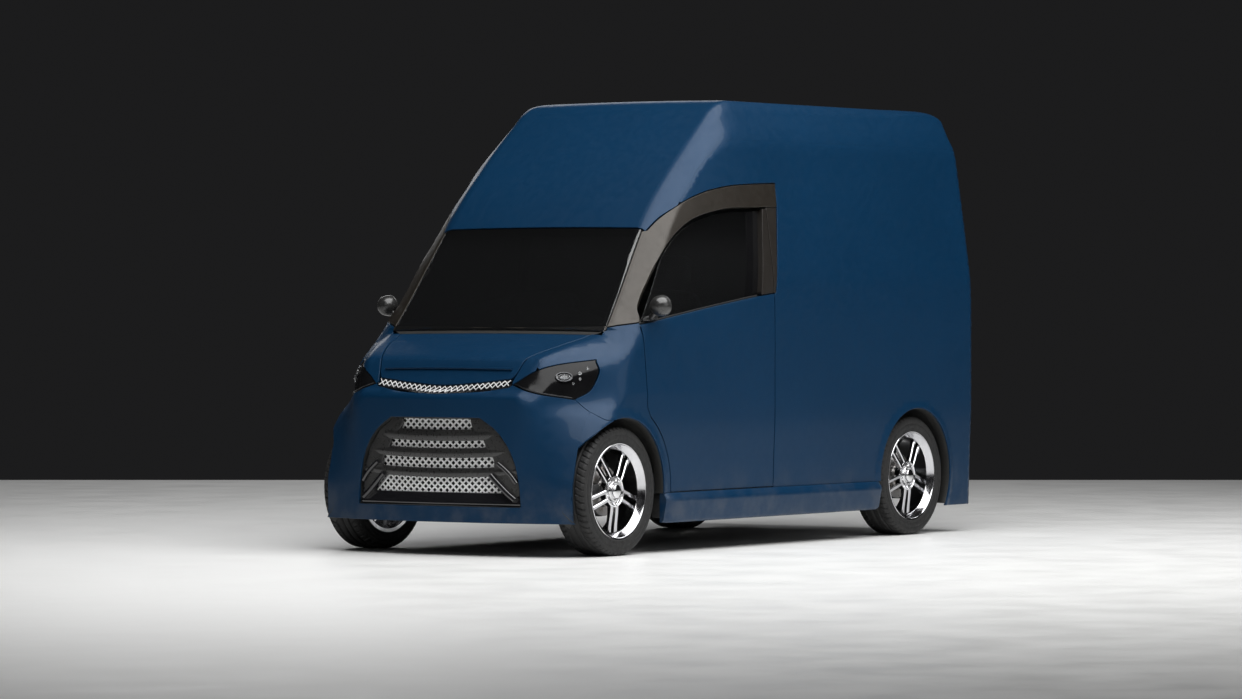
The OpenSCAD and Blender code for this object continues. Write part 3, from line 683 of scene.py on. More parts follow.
class Finish(Nodes):
    """A material put together round one Principled shader."""

    def __init__(self, name, colour, roughness, **sockets):
        self.material = bpy.data.materials.new(name)
        self.material.use_nodes = True
        self.tree = self.material.node_tree
        self.shader = self.tree.nodes["Principled BSDF"]
        self.shader.inputs["Base Color"].default_value = (*colour, 1)
        self.shader.inputs["Roughness"].default_value = roughness
        for socket, value in sockets.items():
            self.shader.inputs[socket.replace("_", " ")].default_value = value
        self.colour = colour
        self.place = self.node("ShaderNodeTexCoord").outputs["Object"]
        self.normal = None

    def stretched(self, scale):
        mapping = self.node("ShaderNodeMapping")
        mapping.inputs["Scale"].default_value = scale
        self.link(self.place, mapping.inputs["Vector"])
        return mapping.outputs["Vector"]

    def noise(self, scale, detail=3.0, stretch=None):
        node = self.node("ShaderNodeTexNoise")
        node.inputs["Scale"].default_value = scale
        node.inputs["Detail"].default_value = detail
        node.inputs["Roughness"].default_value = 0.55
        self.link(self.stretched(stretch) if stretch else self.place, node.inputs["Vector"])
        return node.outputs["Fac"]

    def cells(self, scale, output="Distance", feature="F1"):
        node = self.node("ShaderNodeTexVoronoi", feature=feature)
        node.inputs["Scale"].default_value = scale
        self.link(self.place, node.inputs["Vector"])
        return node.outputs[output]

    def bands(self, scale, direction):
        node = self.node("ShaderNodeTexWave", bands_direction=direction, wave_profile="SIN")
        node.inputs["Scale"].default_value = scale
        self.link(self.place, node.inputs["Vector"])
        return node.outputs["Fac"]

    def along(self, axis):
        node = self.node("ShaderNodeSeparateXYZ")
        self.link(self.place, node.inputs[0])
        return node.outputs[axis]

    def remap(self, value, low, high, start=0.0, end=1.0):
        node = self.node("ShaderNodeMapRange", interpolation_type="SMOOTHSTEP")
        self.link(value, node.inputs["Value"])
        for socket, number in (
                ("From Min", low), ("From Max", high), ("To Min", start), ("To Max", end)):
            node.inputs[socket].default_value = number
        return node.outputs["Result"]

    def tint(self, where, colour):
        """Another colour where a value is high."""
        node = self.node("ShaderNodeMix", data_type="RGBA")
        self.link(where, node.inputs["Factor"])
        base = self.shader.inputs["Base Color"]
        if base.links:
            self.link(base.links[0].from_socket, node.inputs["A"])
        else:
            node.inputs["A"].default_value = (*self.colour, 1)
        node.inputs["B"].default_value = (*colour, 1)
        self.link(node.outputs["Result"], base)

    def rough(self, value, low, high):
        self.link(self.remap(value, 0.25, 0.75, low, high), self.shader.inputs["Roughness"])

    def bump(self, height, distance, strength=1.0, coat=False):
        node = self.node("ShaderNodeBump")
        node.inputs["Distance"].default_value = distance
        node.inputs["Strength"].default_value = strength
        self.link(height, node.inputs["Height"])
        if coat:
            self.link(node.outputs["Normal"], self.shader.inputs["Coat Normal"])
            return
        if self.normal:
            self.link(self.normal, node.inputs["Normal"])
        self.normal = node.outputs["Normal"]
        self.link(self.normal, self.shader.inputs["Normal"])


def shade(colour, factor):
    return tuple(min(1, c * factor) for c in colour)


def body_paint():
    colour = tuple(sizes("van_colours").paint)
    f = Finish(
        "body_paint", colour, 0.42, Metallic=0.15, Coat_Weight=0.13, Coat_Roughness=0.04,
        Coat_IOR=1.45,
        Specular_IOR_Level=0.20)
    f.tint(f.remap(f.noise(1.3, 2), 0.35, 0.7, 0.0, 0.35), shade(colour, 1.25))
    f.tint(f.remap(f.cells(1400, "Color"), 0.2, 0.9, 0.0, 0.30), shade(colour, 1.9))
    dust = f.maths("MULTIPLY", f.remap(f.along("Z"), 0.42, 0.14),
                   f.remap(f.noise(9, 4), 0.40, 0.75))
    f.tint(f.maths("MULTIPLY", dust, 0.16), (0.19, 0.18, 0.17))
    f.rough(f.noise(30, 3), 0.38, 0.48)
    f.bump(f.cells(1100), 0.00004, 0.10)
    f.bump(f.noise(85, 2), 0.00010, 0.12, coat=True)
    return f.material


def bronze():
    colour = tuple(sizes("van_colours").arch)
    f = Finish("bronze_satin", colour, 0.42, Metallic=0.45, Coat_Weight=0.25, Coat_Roughness=0.35)
    f.tint(f.remap(f.noise(7, 3), 0.35, 0.7, 0.0, 0.4), shade(colour, 0.75))
    f.tint(f.remap(f.cells(900, "Color"), 0.3, 0.9, 0.0, 0.35), shade(colour, 1.6))
    f.rough(f.noise(45, 4), 0.36, 0.50)
    f.bump(f.noise(700, 2), 0.00006, 0.25)
    return f.material


def window_glass():
    colour = tuple(sizes("van_colours").glass)
    f = Finish("tinted_glass", colour, 0.012, Transmission_Weight=0.96, IOR=1.48, Coat_Weight=0.4)
    f.tint(f.remap(f.along("Z"), 1.30, 1.46, 0.0, 0.55), shade(colour, 0.25))
    f.rough(f.noise(12, 4), 0.006, 0.030)
    f.bump(f.noise(3.5, 1), 0.0006, 0.06)
    return f.material


def frit():
    f = Finish("glass_border", (0.006, 0.006, 0.007), 0.10, Coat_Weight=1.0)
    f.rough(f.noise(60, 3), 0.07, 0.15)
    f.tint(f.remap(f.cells(260), 0.30, 0.34), (0.010, 0.010, 0.011))
    return f.material


def moulded(name="moulded_black", colour=None, roughness=0.55, grain=0.00016):
    colour = colour or tuple(sizes("van_colours").trim)
    f = Finish(name, colour, roughness)
    f.tint(f.remap(f.noise(5, 4), 0.35, 0.75, 0.0, 0.5), shade(colour, 1.6))
    f.rough(f.noise(80, 4), roughness - 0.09, roughness + 0.10)
    f.bump(f.cells(620, feature="SMOOTH_F1"), grain, 0.55)
    return f.material


def red_lens():
    f = Finish(
        "red_lens", (0.42, 0.006, 0.008), 0.06, Transmission_Weight=0.45, IOR=1.49, Coat_Weight=1.0)
    f.tint(f.remap(f.bands(42, "Z"), 0.35, 0.65, 0.0, 0.6), (0.18, 0.003, 0.004))
    f.rough(f.noise(60, 3), 0.04, 0.10)
    f.bump(f.bands(42, "Z"), 0.0008, 0.35)
    return f.material


def clear_lens():
    f = Finish("clear_lens", (0.72, 0.74, 0.76), 0.03, Transmission_Weight=0.92, IOR=1.49)
    f.rough(f.noise(50, 3), 0.02, 0.06)
    f.bump(f.bands(60, "Z"), 0.0004, 0.25)
    return f.material


def fabric():
    colour = tuple(sizes("van_colours").fabric)
    f = Finish("seat_fabric", colour, 0.88, Sheen_Weight=0.5, Sheen_Roughness=0.4)
    weft = f.bands(210, "X")
    warp = f.maths("MULTIPLY", f.bands(210, "Y"), f.bands(210, "Z"))
    weave = f.maths("MAXIMUM", weft, warp)
    f.tint(f.remap(weave, 0.2, 0.9, 0.0, 0.7), shade(colour, 1.8))
    f.tint(f.remap(f.noise(10, 5), 0.40, 0.75, 0.0, 0.4), shade(colour, 0.6))
    f.rough(f.noise(50, 4), 0.80, 0.95)
    f.bump(weave, 0.0005, 0.5)
    return f.material


def coated_steel(name, colour, roughness=0.48, rust=0.0):
    f = Finish(name, colour, roughness, Coat_Weight=0.15, Coat_Roughness=0.4)
    f.tint(f.remap(f.noise(6, 5), 0.40, 0.72, 0.0, 0.5), shade(colour, 1.6))
    if rust:
        f.tint(f.remap(f.noise(26, 6), 0.66, 0.72, 0.0, rust), (0.10, 0.045, 0.020))
    f.tint(f.remap(f.noise(3, 5, stretch=(1, 1, 2)), 0.50, 0.80, 0.0, 0.35), (0.10, 0.095, 0.085))
    f.rough(f.noise(45, 5), roughness - 0.10, roughness + 0.14)
    f.bump(f.noise(240, 4), 0.00025, 0.45)
    return f.material


def ribbed_case():
    f = Finish("battery_case", (0.050, 0.054, 0.058), 0.42, Metallic=0.3)
    ribs = f.bands(6.5, "X")
    f.tint(f.remap(ribs, 0.80, 0.95, 0.0, 0.5), (0.09, 0.095, 0.10))
    f.rough(f.noise(40, 4), 0.34, 0.54)
    f.bump(f.remap(ribs, 0.75, 0.90), 0.004, 0.8)
    f.bump(f.noise(300, 3), 0.0002, 0.4)
    return f.material


def cast_alloy():
    f = Finish("cast_alloy", (0.40, 0.41, 0.42), 0.38, Metallic=1.0)
    f.tint(f.remap(f.noise(18, 5), 0.45, 0.75, 0.0, 0.7), (0.22, 0.22, 0.23))
    f.rough(f.noise(45, 4), 0.32, 0.52)
    f.bump(f.remap(f.bands(11, "Y"), 0.45, 0.75), 0.0025, 0.7)
    f.bump(f.noise(420, 3), 0.0003, 0.5)
    return f.material


def floor_mat():
    f = Finish("load_mat", (0.030, 0.030, 0.031), 0.75)
    knobs = f.cells(55, feature="SMOOTH_F1")
    f.tint(f.remap(f.noise(4, 5), 0.45, 0.75, 0.0, 0.5), (0.065, 0.062, 0.058))
    f.rough(f.noise(40, 4), 0.66, 0.86)
    f.bump(f.remap(knobs, 0.35, 0.15), 0.0012, 0.6)
    return f.material


def plain(name, colour, roughness, rough, tint=None, bump=None, grain=None, **sockets):
    """A finish with noise in its roughness, its colour and its surface.
    rough: scale, detail, low, high. tint: scale, detail, its range, colour. bump: scale, detail,
    distance, strength. grain stretches the noise of the surface."""
    f = Finish(name, colour, roughness, **sockets)
    f.rough(f.noise(*rough[:2]), *rough[2:])
    if tint:
        f.tint(f.remap(f.noise(*tint[:2]), *tint[2:-1]), tint[-1])
    if bump:
        f.bump(f.noise(*bump[:2], stretch=grain), *bump[2:])
    return f.material


PLAIN = {
    "gloss": dict(
        name="gloss_black", colour=(0.010, 0.010, 0.012), roughness=0.09, rough=(40, 4, 0.06, 0.14),
        tint=(3, 3, 0.4, 0.7, 0.0, 0.5, (0.016, 0.016, 0.018)), bump=(90, 2, 0.00006, 0.08),
        Coat_Weight=1.0, Coat_Roughness=0.02),
    "satin": dict(
        name="satin_black", colour=(0.020, 0.020, 0.020), roughness=0.30, rough=(70, 4, 0.24, 0.38),
        tint=(6, 3, 0.4, 0.7, 0.0, 0.6, (0.034, 0.033, 0.032)), bump=(900, 2, 0.00005, 0.3),
        Coat_Weight=0.5, Coat_Roughness=0.18),
    "chrome": dict(
        name="chrome", colour=(0.80, 0.80, 0.81), roughness=0.07, rough=(55, 4, 0.04, 0.12),
        tint=(8, 4, 0.45, 0.8, 0.0, 0.5, (0.62, 0.62, 0.64)), bump=(160, 2, 0.00005, 0.15),
        Metallic=1.0),
    # smoked: the smoked headlight covers, and also the dark sheet of painted shade on the rear of each door
    # window
    "smoked_and_shade": dict(
        name="smoked_cover", colour=(0.0045, 0.0045, 0.0050), roughness=0.14,
        rough=(40, 3, 0.10, 0.18), tint=(8, 3, 0.4, 0.7, 0.0, 0.5, (0.0070, 0.0070, 0.0075)),
        bump=(600, 2, 0.00002, 0.2), Specular_IOR_Level=0.22),
    "mesh_metal": dict(
        name="bright_mesh", colour=(0.90, 0.90, 0.90), roughness=0.45, rough=(90, 4, 0.36, 0.52),
        tint=(30, 4, 0.45, 0.8, 0.0, 0.5, (0.55, 0.55, 0.56)), bump=(500, 2, 0.00005, 0.2),
        Metallic=0.15),
    # jamb: the bronze arch colour darkened to about half, painted shade on the recessed window jamb and post
    "jamb": dict(
        name="jamb_satin", colour=(0.014, 0.0115, 0.0095), roughness=0.40,
        rough=(60, 4, 0.34, 0.48), tint=(9, 4, 0.4, 0.7, 0.0, 0.5, (0.010, 0.0085, 0.0075)),
        bump=(800, 2, 0.00005, 0.3), Coat_Weight=0.3, Coat_Roughness=0.3),
    "alloy": dict(
        name="polished_alloy", colour=(0.62, 0.62, 0.64), roughness=0.12, rough=(40, 4, 0.08, 0.20),
        tint=(14, 4, 0.45, 0.8, 0.0, 0.5, (0.40, 0.40, 0.43)), bump=(260, 3, 0.00005, 0.25),
        grain=(1, 6, 1), Metallic=1.0, Coat_Weight=0.4),
    "alloy_dark": dict(
        name="alloy_dark", colour=(0.055, 0.056, 0.060), roughness=0.22, rough=(40, 4, 0.16, 0.30),
        tint=(14, 4, 0.45, 0.8, 0.0, 0.6, (0.12, 0.12, 0.13)), bump=(500, 3, 0.00006, 0.3),
        Metallic=0.9, Coat_Weight=0.6),
    "steel": dict(
        name="machined_steel", colour=(0.36, 0.35, 0.34), roughness=0.32, rough=(30, 5, 0.24, 0.46),
        tint=(22, 5, 0.50, 0.72, (0.20, 0.15, 0.12)), bump=(420, 3, 0.00008, 0.35),
        grain=(1, 0.1, 1), Metallic=1.0),
    "rubber": dict(
        name="tyre_rubber", colour=(0.0095, 0.0095, 0.0098), roughness=0.68,
        rough=(60, 5, 0.58, 0.80), tint=(16, 5, 0.40, 0.75, 0.0, 0.55, (0.017, 0.0165, 0.0155)),
        bump=(900, 3, 0.00012, 0.5)),
    "seal": dict(
        name="seal_rubber", colour=(0.010, 0.010, 0.010), roughness=0.62, rough=(90, 4, 0.55, 0.75),
        tint=(12, 4, 0.4, 0.7, 0.0, 0.5, (0.020, 0.020, 0.020)), bump=(1200, 2, 0.00006, 0.4)),
    "mirror": dict(
        name="mirror_glass", colour=(0.72, 0.74, 0.76), roughness=0.02, rough=(20, 4, 0.01, 0.04),
        bump=(4, 1, 0.0002, 0.05), Metallic=1.0),
    "screen": dict(
        name="blank_screen", colour=(0.004, 0.005, 0.007), roughness=0.05,
        rough=(30, 3, 0.03, 0.09), tint=(2, 2, 0.4, 0.7, 0.0, 0.5, (0.008, 0.010, 0.014)),
        Coat_Weight=1.0),
    "studio_floor": dict(
        name="studio_floor", colour=(0.80, 0.80, 0.79), roughness=0.42, rough=(3, 4, 0.36, 0.50),
        tint=(0.5, 4, 0.4, 0.7, 0.0, 0.3, (0.76, 0.76, 0.755)))}
FINISHES = {
    "body_paint": body_paint,
    "bronze": bronze,
    "glass": window_glass,
    "frit": frit,
    "moulded": moulded,
    "red_lens": red_lens,
    "clear_lens": clear_lens,
    "fabric": fabric,
    "chassis": lambda: coated_steel("chassis_coat", (0.022, 0.022, 0.023), 0.46, 0.6),
    "inner": lambda: coated_steel("inner_paint", (0.20, 0.21, 0.22), 0.42),
    "underseal": lambda: coated_steel("underseal", (0.014, 0.014, 0.014), 0.70),
    "suspension": lambda: coated_steel("suspension_coat", (0.030, 0.030, 0.031), 0.44, 0.8),
    "battery": ribbed_case,
    "cast": cast_alloy,
    "mat": floor_mat,
    "dash": lambda: moulded("dashboard_skin", (0.022, 0.022, 0.024), 0.62, 0.00030),
}
MADE = {}


def finish(name):
    """A finish by its short name, made once."""
    if name not in MADE:
        MADE[name] = plain(**PLAIN[name]) if name in PLAIN else FINISHES[name]()
    return MADE[name]


# ------------------------------------------------ shut lines and edges, x and z in metres
def through(points, step=0.012):
    """Smooth open curve through the points."""
    points = np.asarray(points, float)
    reach = np.concatenate([[0], np.cumsum(np.linalg.norm(np.diff(points, axis=0), axis=1))])
    axes = [Curve(*zip(reach, points[:, k])) for k in range(points.shape[1])]
    at = np.linspace(0, reach[-1], max(2, math.ceil(reach[-1] / step)))
    return [tuple(p) for p in np.stack([axis(at) for axis in axes], axis=1)]


WINDOW_SILL = [(0.171, 1.131), (0.547, 1.083), (0.936, 1.029), (1.128, 1.000)]
WINDOW_ARCH = [
    (1.114, 1.026), (1.099, 1.063), (1.058, 1.121), (1.014, 1.174), (0.932, 1.268), (0.850, 1.342),
    (0.756, 1.409), (0.636, 1.469), (0.515, 1.500), (0.348, 1.523), (-0.003, 1.531)]
ARCH_TOP = [
    (-0.013, 1.641), (0.296, 1.627), (0.491, 1.601), (0.611, 1.569), (0.700, 1.537), (0.803, 1.475),
    (0.845, 1.441), (0.8785, 1.411)]
ARCH_MEETS_CREASE = 0.700
HOOD_EDGE = [(1.2475, 0.520), (1.400, 0.470), (1.556, 0.394), (1.618, 0.362)]
LAMP_TOP = [(0.366, 0.742), (0.440, 0.792), (0.530, 0.832), (0.628, 0.852)]
LAMP_OUTER = [(0.628, 0.852), (0.654, 0.800), (0.640, 0.720), (0.600, 0.678)]
LAMP_LOWER = [(0.600, 0.678), (0.480, 0.706), (0.366, 0.742)]
BUMPER_TOP = [(0.660, 0.627), (0.640, 0.640), (0.600, 0.678), (0.480, 0.706), (0.366, 0.742),
              (0.356, 0.732), (0.200, 0.710), (0.0, 0.702)]
BUMPER_SIDE = [(1.372, 0.589), (1.425, 0.590), (1.442, 0.599), (1.463, 0.627)]
GRILLE_EDGE = [
    (0.437, 0.215), (0.430, 0.300), (0.413, 0.391), (0.380, 0.470), (0.320, 0.545), (0.240, 0.599)]
REAR_SEAM_X = REAR_X + REAR_EDGE / 4
BUMPER_Z = 0.146
PILLAR_FOOT = [(1.1215, 1.008), (1.150, 1.003), (1.190, 0.995), (1.2240, 0.9845)]
DOOR_RADIUS = 0.378


def strip_middle(y):
    """Height of the chrome strip under the hood."""
    return 0.7205 + 0.030 * (np.abs(y) / 0.354) ** 1.4


def crease_edge(start, end, step=0.03):
    count = max(2, math.ceil(abs(end - start) / step))
    return on_side([(x, float(outer_crease(x))) for x in np.linspace(start, end, count)])


def screen_half(x):
    """Half width of the windscreen at a place along the van."""
    return 0.5325 + (np.clip(x, 0.880, 1.240) - 0.880) * 0.040 / 0.352


def round_corners(points, radius, steps=5):
    """A flat closed outline with its corners rounded."""
    points = [np.asarray(p, float) for p in points]
    out = []
    for before, here, after in zip(points[-1:] + points[:-1], points, points[1:] + points[:1]):
        a, b = before - here, after - here
        la, lb = np.linalg.norm(a), np.linalg.norm(b)
        a, b = a / la, b / lb
        cut = min(radius, 0.45 * la, 0.45 * lb)
        if a @ b < -0.98:
            out.append(tuple(here))
            continue
        start, end = here + a * cut, here + b * cut
        for t in np.linspace(0, 1, steps):
            out.append(tuple((1 - t) ** 2 * start + 2 * t * (1 - t) * here + t * t * end))
    return out


def fine_where(near):
    """A fine edge where two skins meet, a rolled one elsewhere."""
    return np.where(near, 0.0003, sizes("van_body").hem)[:, None]


def at_creases(points):
    near = np.abs(points[:, 2] - outer_crease(points[:, 0])) < 0.004
    return fine_where(near | (np.abs(points[:, 0] - REAR_SEAM_X) < 0.004))


def at_inner_crease(points):
    return fine_where(np.abs(np.abs(points[:, 1]) - inner_crease(points[:, 0])) < 0.003)


def at_corner_seam(points):
    near = np.abs(points[:, 0] - corner_line(points[:, 2])) < 0.004
    return fine_where(near & (points[:, 2] < 0.626))


class VAN_OT_shell(bpy.types.Operator):
    """Roof, cargo sides, the frame round the rear doors and the sills"""

    bl_idname = "van.shell"
    bl_label = "Body shell"

    def execute(self, context):
        paint = finish("body_paint")
        left = crease_edge(REAR_SEAM_X, ARCH_MEETS_CREASE) + on_side(through(ARCH_TOP[4:])[1:-1])
        left += on_side([(0.8765, 1.413)])
        front = on_top([(0.8765, y) for y in np.linspace(0.5325, -0.5325, 40)])
        roof = panel_mesh(
            ABOVE, left + front + mirrored(left[::-1]), 0.024, hem=at_creases, step=0.030)
        piece("roof_skin", roof, paint, "body", ["roof_panel"])

        radius = sizes("van_body").arch_radius
        rear = [(REAR_SEAM_X, z) for z in np.linspace(float(outer_crease(REAR_SEAM_X)), SILL_Z, 60)]
        notch = arc((AFT_X, AXLE_Z), radius, 208.15, -3.24, 70)
        wall = on_side(rear[1:] + notch + [
            (SHUT_X, 0.262), (SHUT_X, 1.138), (0.072, 1.142), (-0.006, 1.531)])
        wall += on_side(through(ARCH_TOP[:5])[:-1]) + crease_edge(ARCH_MEETS_CREASE, REAR_SEAM_X)
        side = panel_mesh(SIDE, wall, 0.012, hem=at_creases, step=0.026)
        both("side_skin", side, paint, "body", "side_panel_*")

        edge = on_side(rear[::-1])
        top = on_top([
            (REAR_SEAM_X, y) for y in np.linspace(edge[-1][1], -edge[-1][1], 50)])[1:-1]
        door_top = 1.832
        inner = [(-REAR_POST_Y, SILL_Z), (-REAR_POST_Y, door_top), (REAR_POST_Y, door_top),
                 (REAR_POST_Y, SILL_Z)]
        outline = edge + top + mirrored(edge[::-1]) + surface_points(TAIL, inner)
        shape = panel_mesh(TAIL, outline, 0.030, hem=at_creases, step=0.022)
        piece("rear_frame", shape, paint, "body")

        self.sills(paint)
        self.liners()
        return {"FINISHED"}

    def sills(self, paint):
        """Sill of each side, with a ledge under the door and rounded ends."""
        start, end = AFT_X + 0.322, FRONT_X - 0.322
        section = round_corners([
            (0.706, 0.131), (0.717, 0.131), (0.726, 0.140), (0.7415, 0.226), (0.7400, 0.238),
            (0.7245, 0.2625), (0.706, 0.2630)], 0.005, 4)
        stations = [start, start + 0.004, start + 0.014, start + 0.030]
        stations += list(np.linspace(start + 0.1, end - 0.1, 30))
        stations += [end - 0.030, end - 0.014, end - 0.004, end]
        rows = []
        for x in stations:
            edge = min(x - start, end - x)
            draw = 0.010 * (1 - smooth(edge / 0.030))
            rows.append([(x, y - draw * (y > 0.70), z + draw * 0.3 * (z < 0.2)) for y,
                         z in section])
        shape = lofted(rows)
        piece("sill_left", shape, paint, "body", ["sills"])
        piece("sill_right", mirror_shape(shape), paint, "body")
        inner = block((start + 0.012, 0.642, 0.152), (end - 0.012, 0.706, 0.259), 0.008)
        both("sill_inner", inner, finish("underseal"), "body")

    def liners(self):
        """Dark plastic edge rolled inside each wheel opening."""
        radius = sizes("van_body").arch_radius
        for name, x, start, end in (("front", FRONT_X, 183.2, -26.0), ("rear", AFT_X, 206.0, -3.2)):
            rings = arc((x, AXLE_Z), radius - 0.0005, start, end, 90)
            outer = on_side(rings)
            path = [(p[0], p[1] - 0.030, p[2]) for p in outer]
            shape = sweep(path, bar_section(0.003, 0.044, 0.001, 2), up=(0, 1, 0))
            both(f"arch_liner_{name}", shape, finish("moulded"), "body")


class VAN_OT_rear_doors(bpy.types.Operator):
    """Two rear doors with pressed panels, seals, hinges and a handle"""

    bl_idname = "van.rear_doors"
    bl_label = "Rear doors"

    def execute(self, context):
        low_z, high_z, half = 0.306, 1.826, REAR_POST_Y - 0.006
        outline = round_corners(
            [(0.003, low_z), (half, low_z), (half, high_z), (0.003, high_z)], 0.010)
        pressed = [((0.28, 1.340), (0.200, 0.320)), ((0.28, 0.610), (0.200, 0.190))]

        def relief(flat):
            total = 0
            for centre, size in pressed:
                out = np.hypot(
                    np.maximum(np.abs(flat[:, 0] - centre[0]) - size[0] + 0.04, 0),
                    np.maximum(np.abs(flat[:, 1] - centre[1]) - size[1] + 0.04, 0)) - 0.04
                total = total + 0.0055 * smooth(-out / 0.016)
            return total

        skin = panel_mesh(
            TAIL, surface_points(TAIL, outline), 0.040, step=0.012, relief=relief, hem=0.003)
        x = REAR_X
        for side in ("left", "right"):
            turn = 1 if side == "left" else -1
            shape = skin if side == "left" else flipped(skin)
            body = f"rear_door_{side}"
            piece(f"rear_door_skin_{side}", shape, finish("body_paint"), body,
                  [f"rear_door_{side}"])
            hinges = []
            for z in (0.480, 1.600):
                barrel = lathe([(0, 0), (0.0055, 0), (0.0068, 0.002), (0.0068, 0.027),
                                (0.0060, 0.029), (0.0060, 0.031), (0.0068, 0.033),
                                (0.0068, 0.057), (0.0060, 0.059), (0.0060, 0.061),
                                (0.0068, 0.063), (0.0068, 0.088), (0.0055, 0.090), (0, 0.090)],
                               24, closed=False)
                to = Matrix.Translation((x - 0.0058, turn * half, z)) @ Matrix.Rotation(
                    math.pi / 2, 4, "X")
                hinges.append(placed(barrel, to))
                hinges.append(block((x - 0.005, turn * (half - 0.044), z + 0.004),
                                    (x - 0.0002, turn * (half - 0.004), z + 0.086), 0.002))
                for dz in (0.022, 0.068):
                    cap = lathe([(0, -0.0022), (0.005, -0.0018), (0.0072, 0)], 6, closed=False)
                    hinges.append(placed(cap, Matrix.Translation(
                        (x - 0.005, turn * (half - 0.026), z + dz)) @ Matrix.Rotation(
                            math.radians(-90), 4, "Z")))
            piece(f"rear_hinges_{side}", joined(*hinges), finish("satin"), body)
            self.seal(side, turn, low_z, high_z, half)
        self.handles()
        return {"FINISHED"}

    def seal(self, side, turn, low_z, high_z, half):
        inset = 0.010
        path = [(0.003 + inset, low_z + inset), (half - inset, low_z + inset),
                (half - inset, high_z - inset), (0.003 + inset, high_z - inset)]
        path = [(REAR_X + 0.0432, turn * y, z) for y, z in round_corners(path, 0.03, 6)]
        shape = sweep(path, round_section(0.0032, 8), up=(1, 0, 0), closed=True)
        piece(f"rear_door_seal_{side}", shape, finish("seal"), f"rear_door_{side}")

    def handles(self):
        for side, turn in (("left", 1), ("right", -1)):
            base = block((REAR_X - 0.004, turn * 0.024, 0.866),
                         (REAR_X + 0.004, turn * 0.062, 1.004),
                         0.005, 3)
            path = [(REAR_X - 0.002, turn * 0.043, 0.882), (REAR_X - 0.0085, turn * 0.043, 0.892),
                    (REAR_X - 0.0095, turn * 0.043, 0.935), (REAR_X - 0.0085, turn * 0.043, 0.978),
                    (REAR_X - 0.002, turn * 0.043, 0.988)]
            grip = sweep(through(path, 0.006), bar_section(0.018, 0.0065, 0.003), up=(1, 0, 0.01))
            piece(f"rear_handle_{side}", joined(base, grip), finish("satin"), f"rear_door_{side}")


class VAN_OT_screen(bpy.types.Operator):
    """Windscreen with its black border, and the trim strip at its foot"""

    bl_idname = "van.screen"
    bl_label = "Windscreen"

    def execute(self, context):
        xs = np.linspace(0.880, 1.231, 24)
        edge = [(x, float(screen_half(x))) for x in xs]
        outline = on_top(edge + [(x, -y) for x, y in edge[::-1]])
        glass = panel_mesh(ABOVE, outline, 0.005, hem=0.0012, step=0.028, inset=0.0008)
        piece("windscreen_glass", glass, finish("glass"), "body", ["windscreen"])
        border = 0.028
        inner = [(x, float(screen_half(x)) - border) for x in np.linspace(0.880 + border, 1.205,
                                                                          24)]
        hole = round_corners(inner + [(x, -y) for x, y in inner[::-1]], 0.02)
        band = panel_mesh(
            ABOVE, outline, 0.0012, holes=[on_top(hole)], hem=0.0003, step=0.020, inset=0.0064)
        piece("windscreen_border", band, finish("frit"), "body")
        ys = np.linspace(0.560, -0.560, 46)
        loop = [(1.2325, y) for y in ys] + [(1.2465, y * 0.94) for y in ys[::-1]]
        strip = panel_mesh(ABOVE, on_top(loop), 0.006, inset=0.0030, hem=0.002, step=0.02)
        piece("cowl_strip", strip, finish("moulded"), "body")
        return {"FINISHED"}


class VAN_OT_pillars(bpy.types.Operator):
    """The satin arch that runs from the windscreen's foot over each side window, and its jamb"""

    bl_idname = "van.pillars"
    bl_label = "Pillar arches"

    def execute(self, context):
        xs = np.linspace(1.2225, 0.884, 26)
        upper = on_top([(x, float(screen_half(x)) + 0.004) for x in xs])
        upper += on_side(through(ARCH_TOP)[::-1][1:])
        outer = [(p[0], p[2] - 0.0035) for p in upper[26:]]
        lower = through(WINDOW_ARCH[::-1]) + [(1.1190, 1.012)]
        lower += [(x, z + 0.003) for x, z in PILLAR_FOOT]
        shape = panel_mesh(SIDE, upper[:26] + on_side(outer + lower), 0.030, hem=0.003, step=0.014)
        both("pillar_arch_trim", shape, finish("bronze"), "body", "pillar_arch_*")
        # The jamb's finish is the bronze arch colour darkened: painted shade on the recess behind the door.
        loop = [(-0.001, 1.5285), (0.0868, 1.5275), (0.0868, 1.140), (0.0745, 1.1425)]
        jamb = panel_mesh(SIDE, on_side(loop), 0.020, hem=0.0015, step=0.016, inset=0.002)
        both("window_jamb", jamb, finish("jamb"), "body")
        return {"FINISHED"}


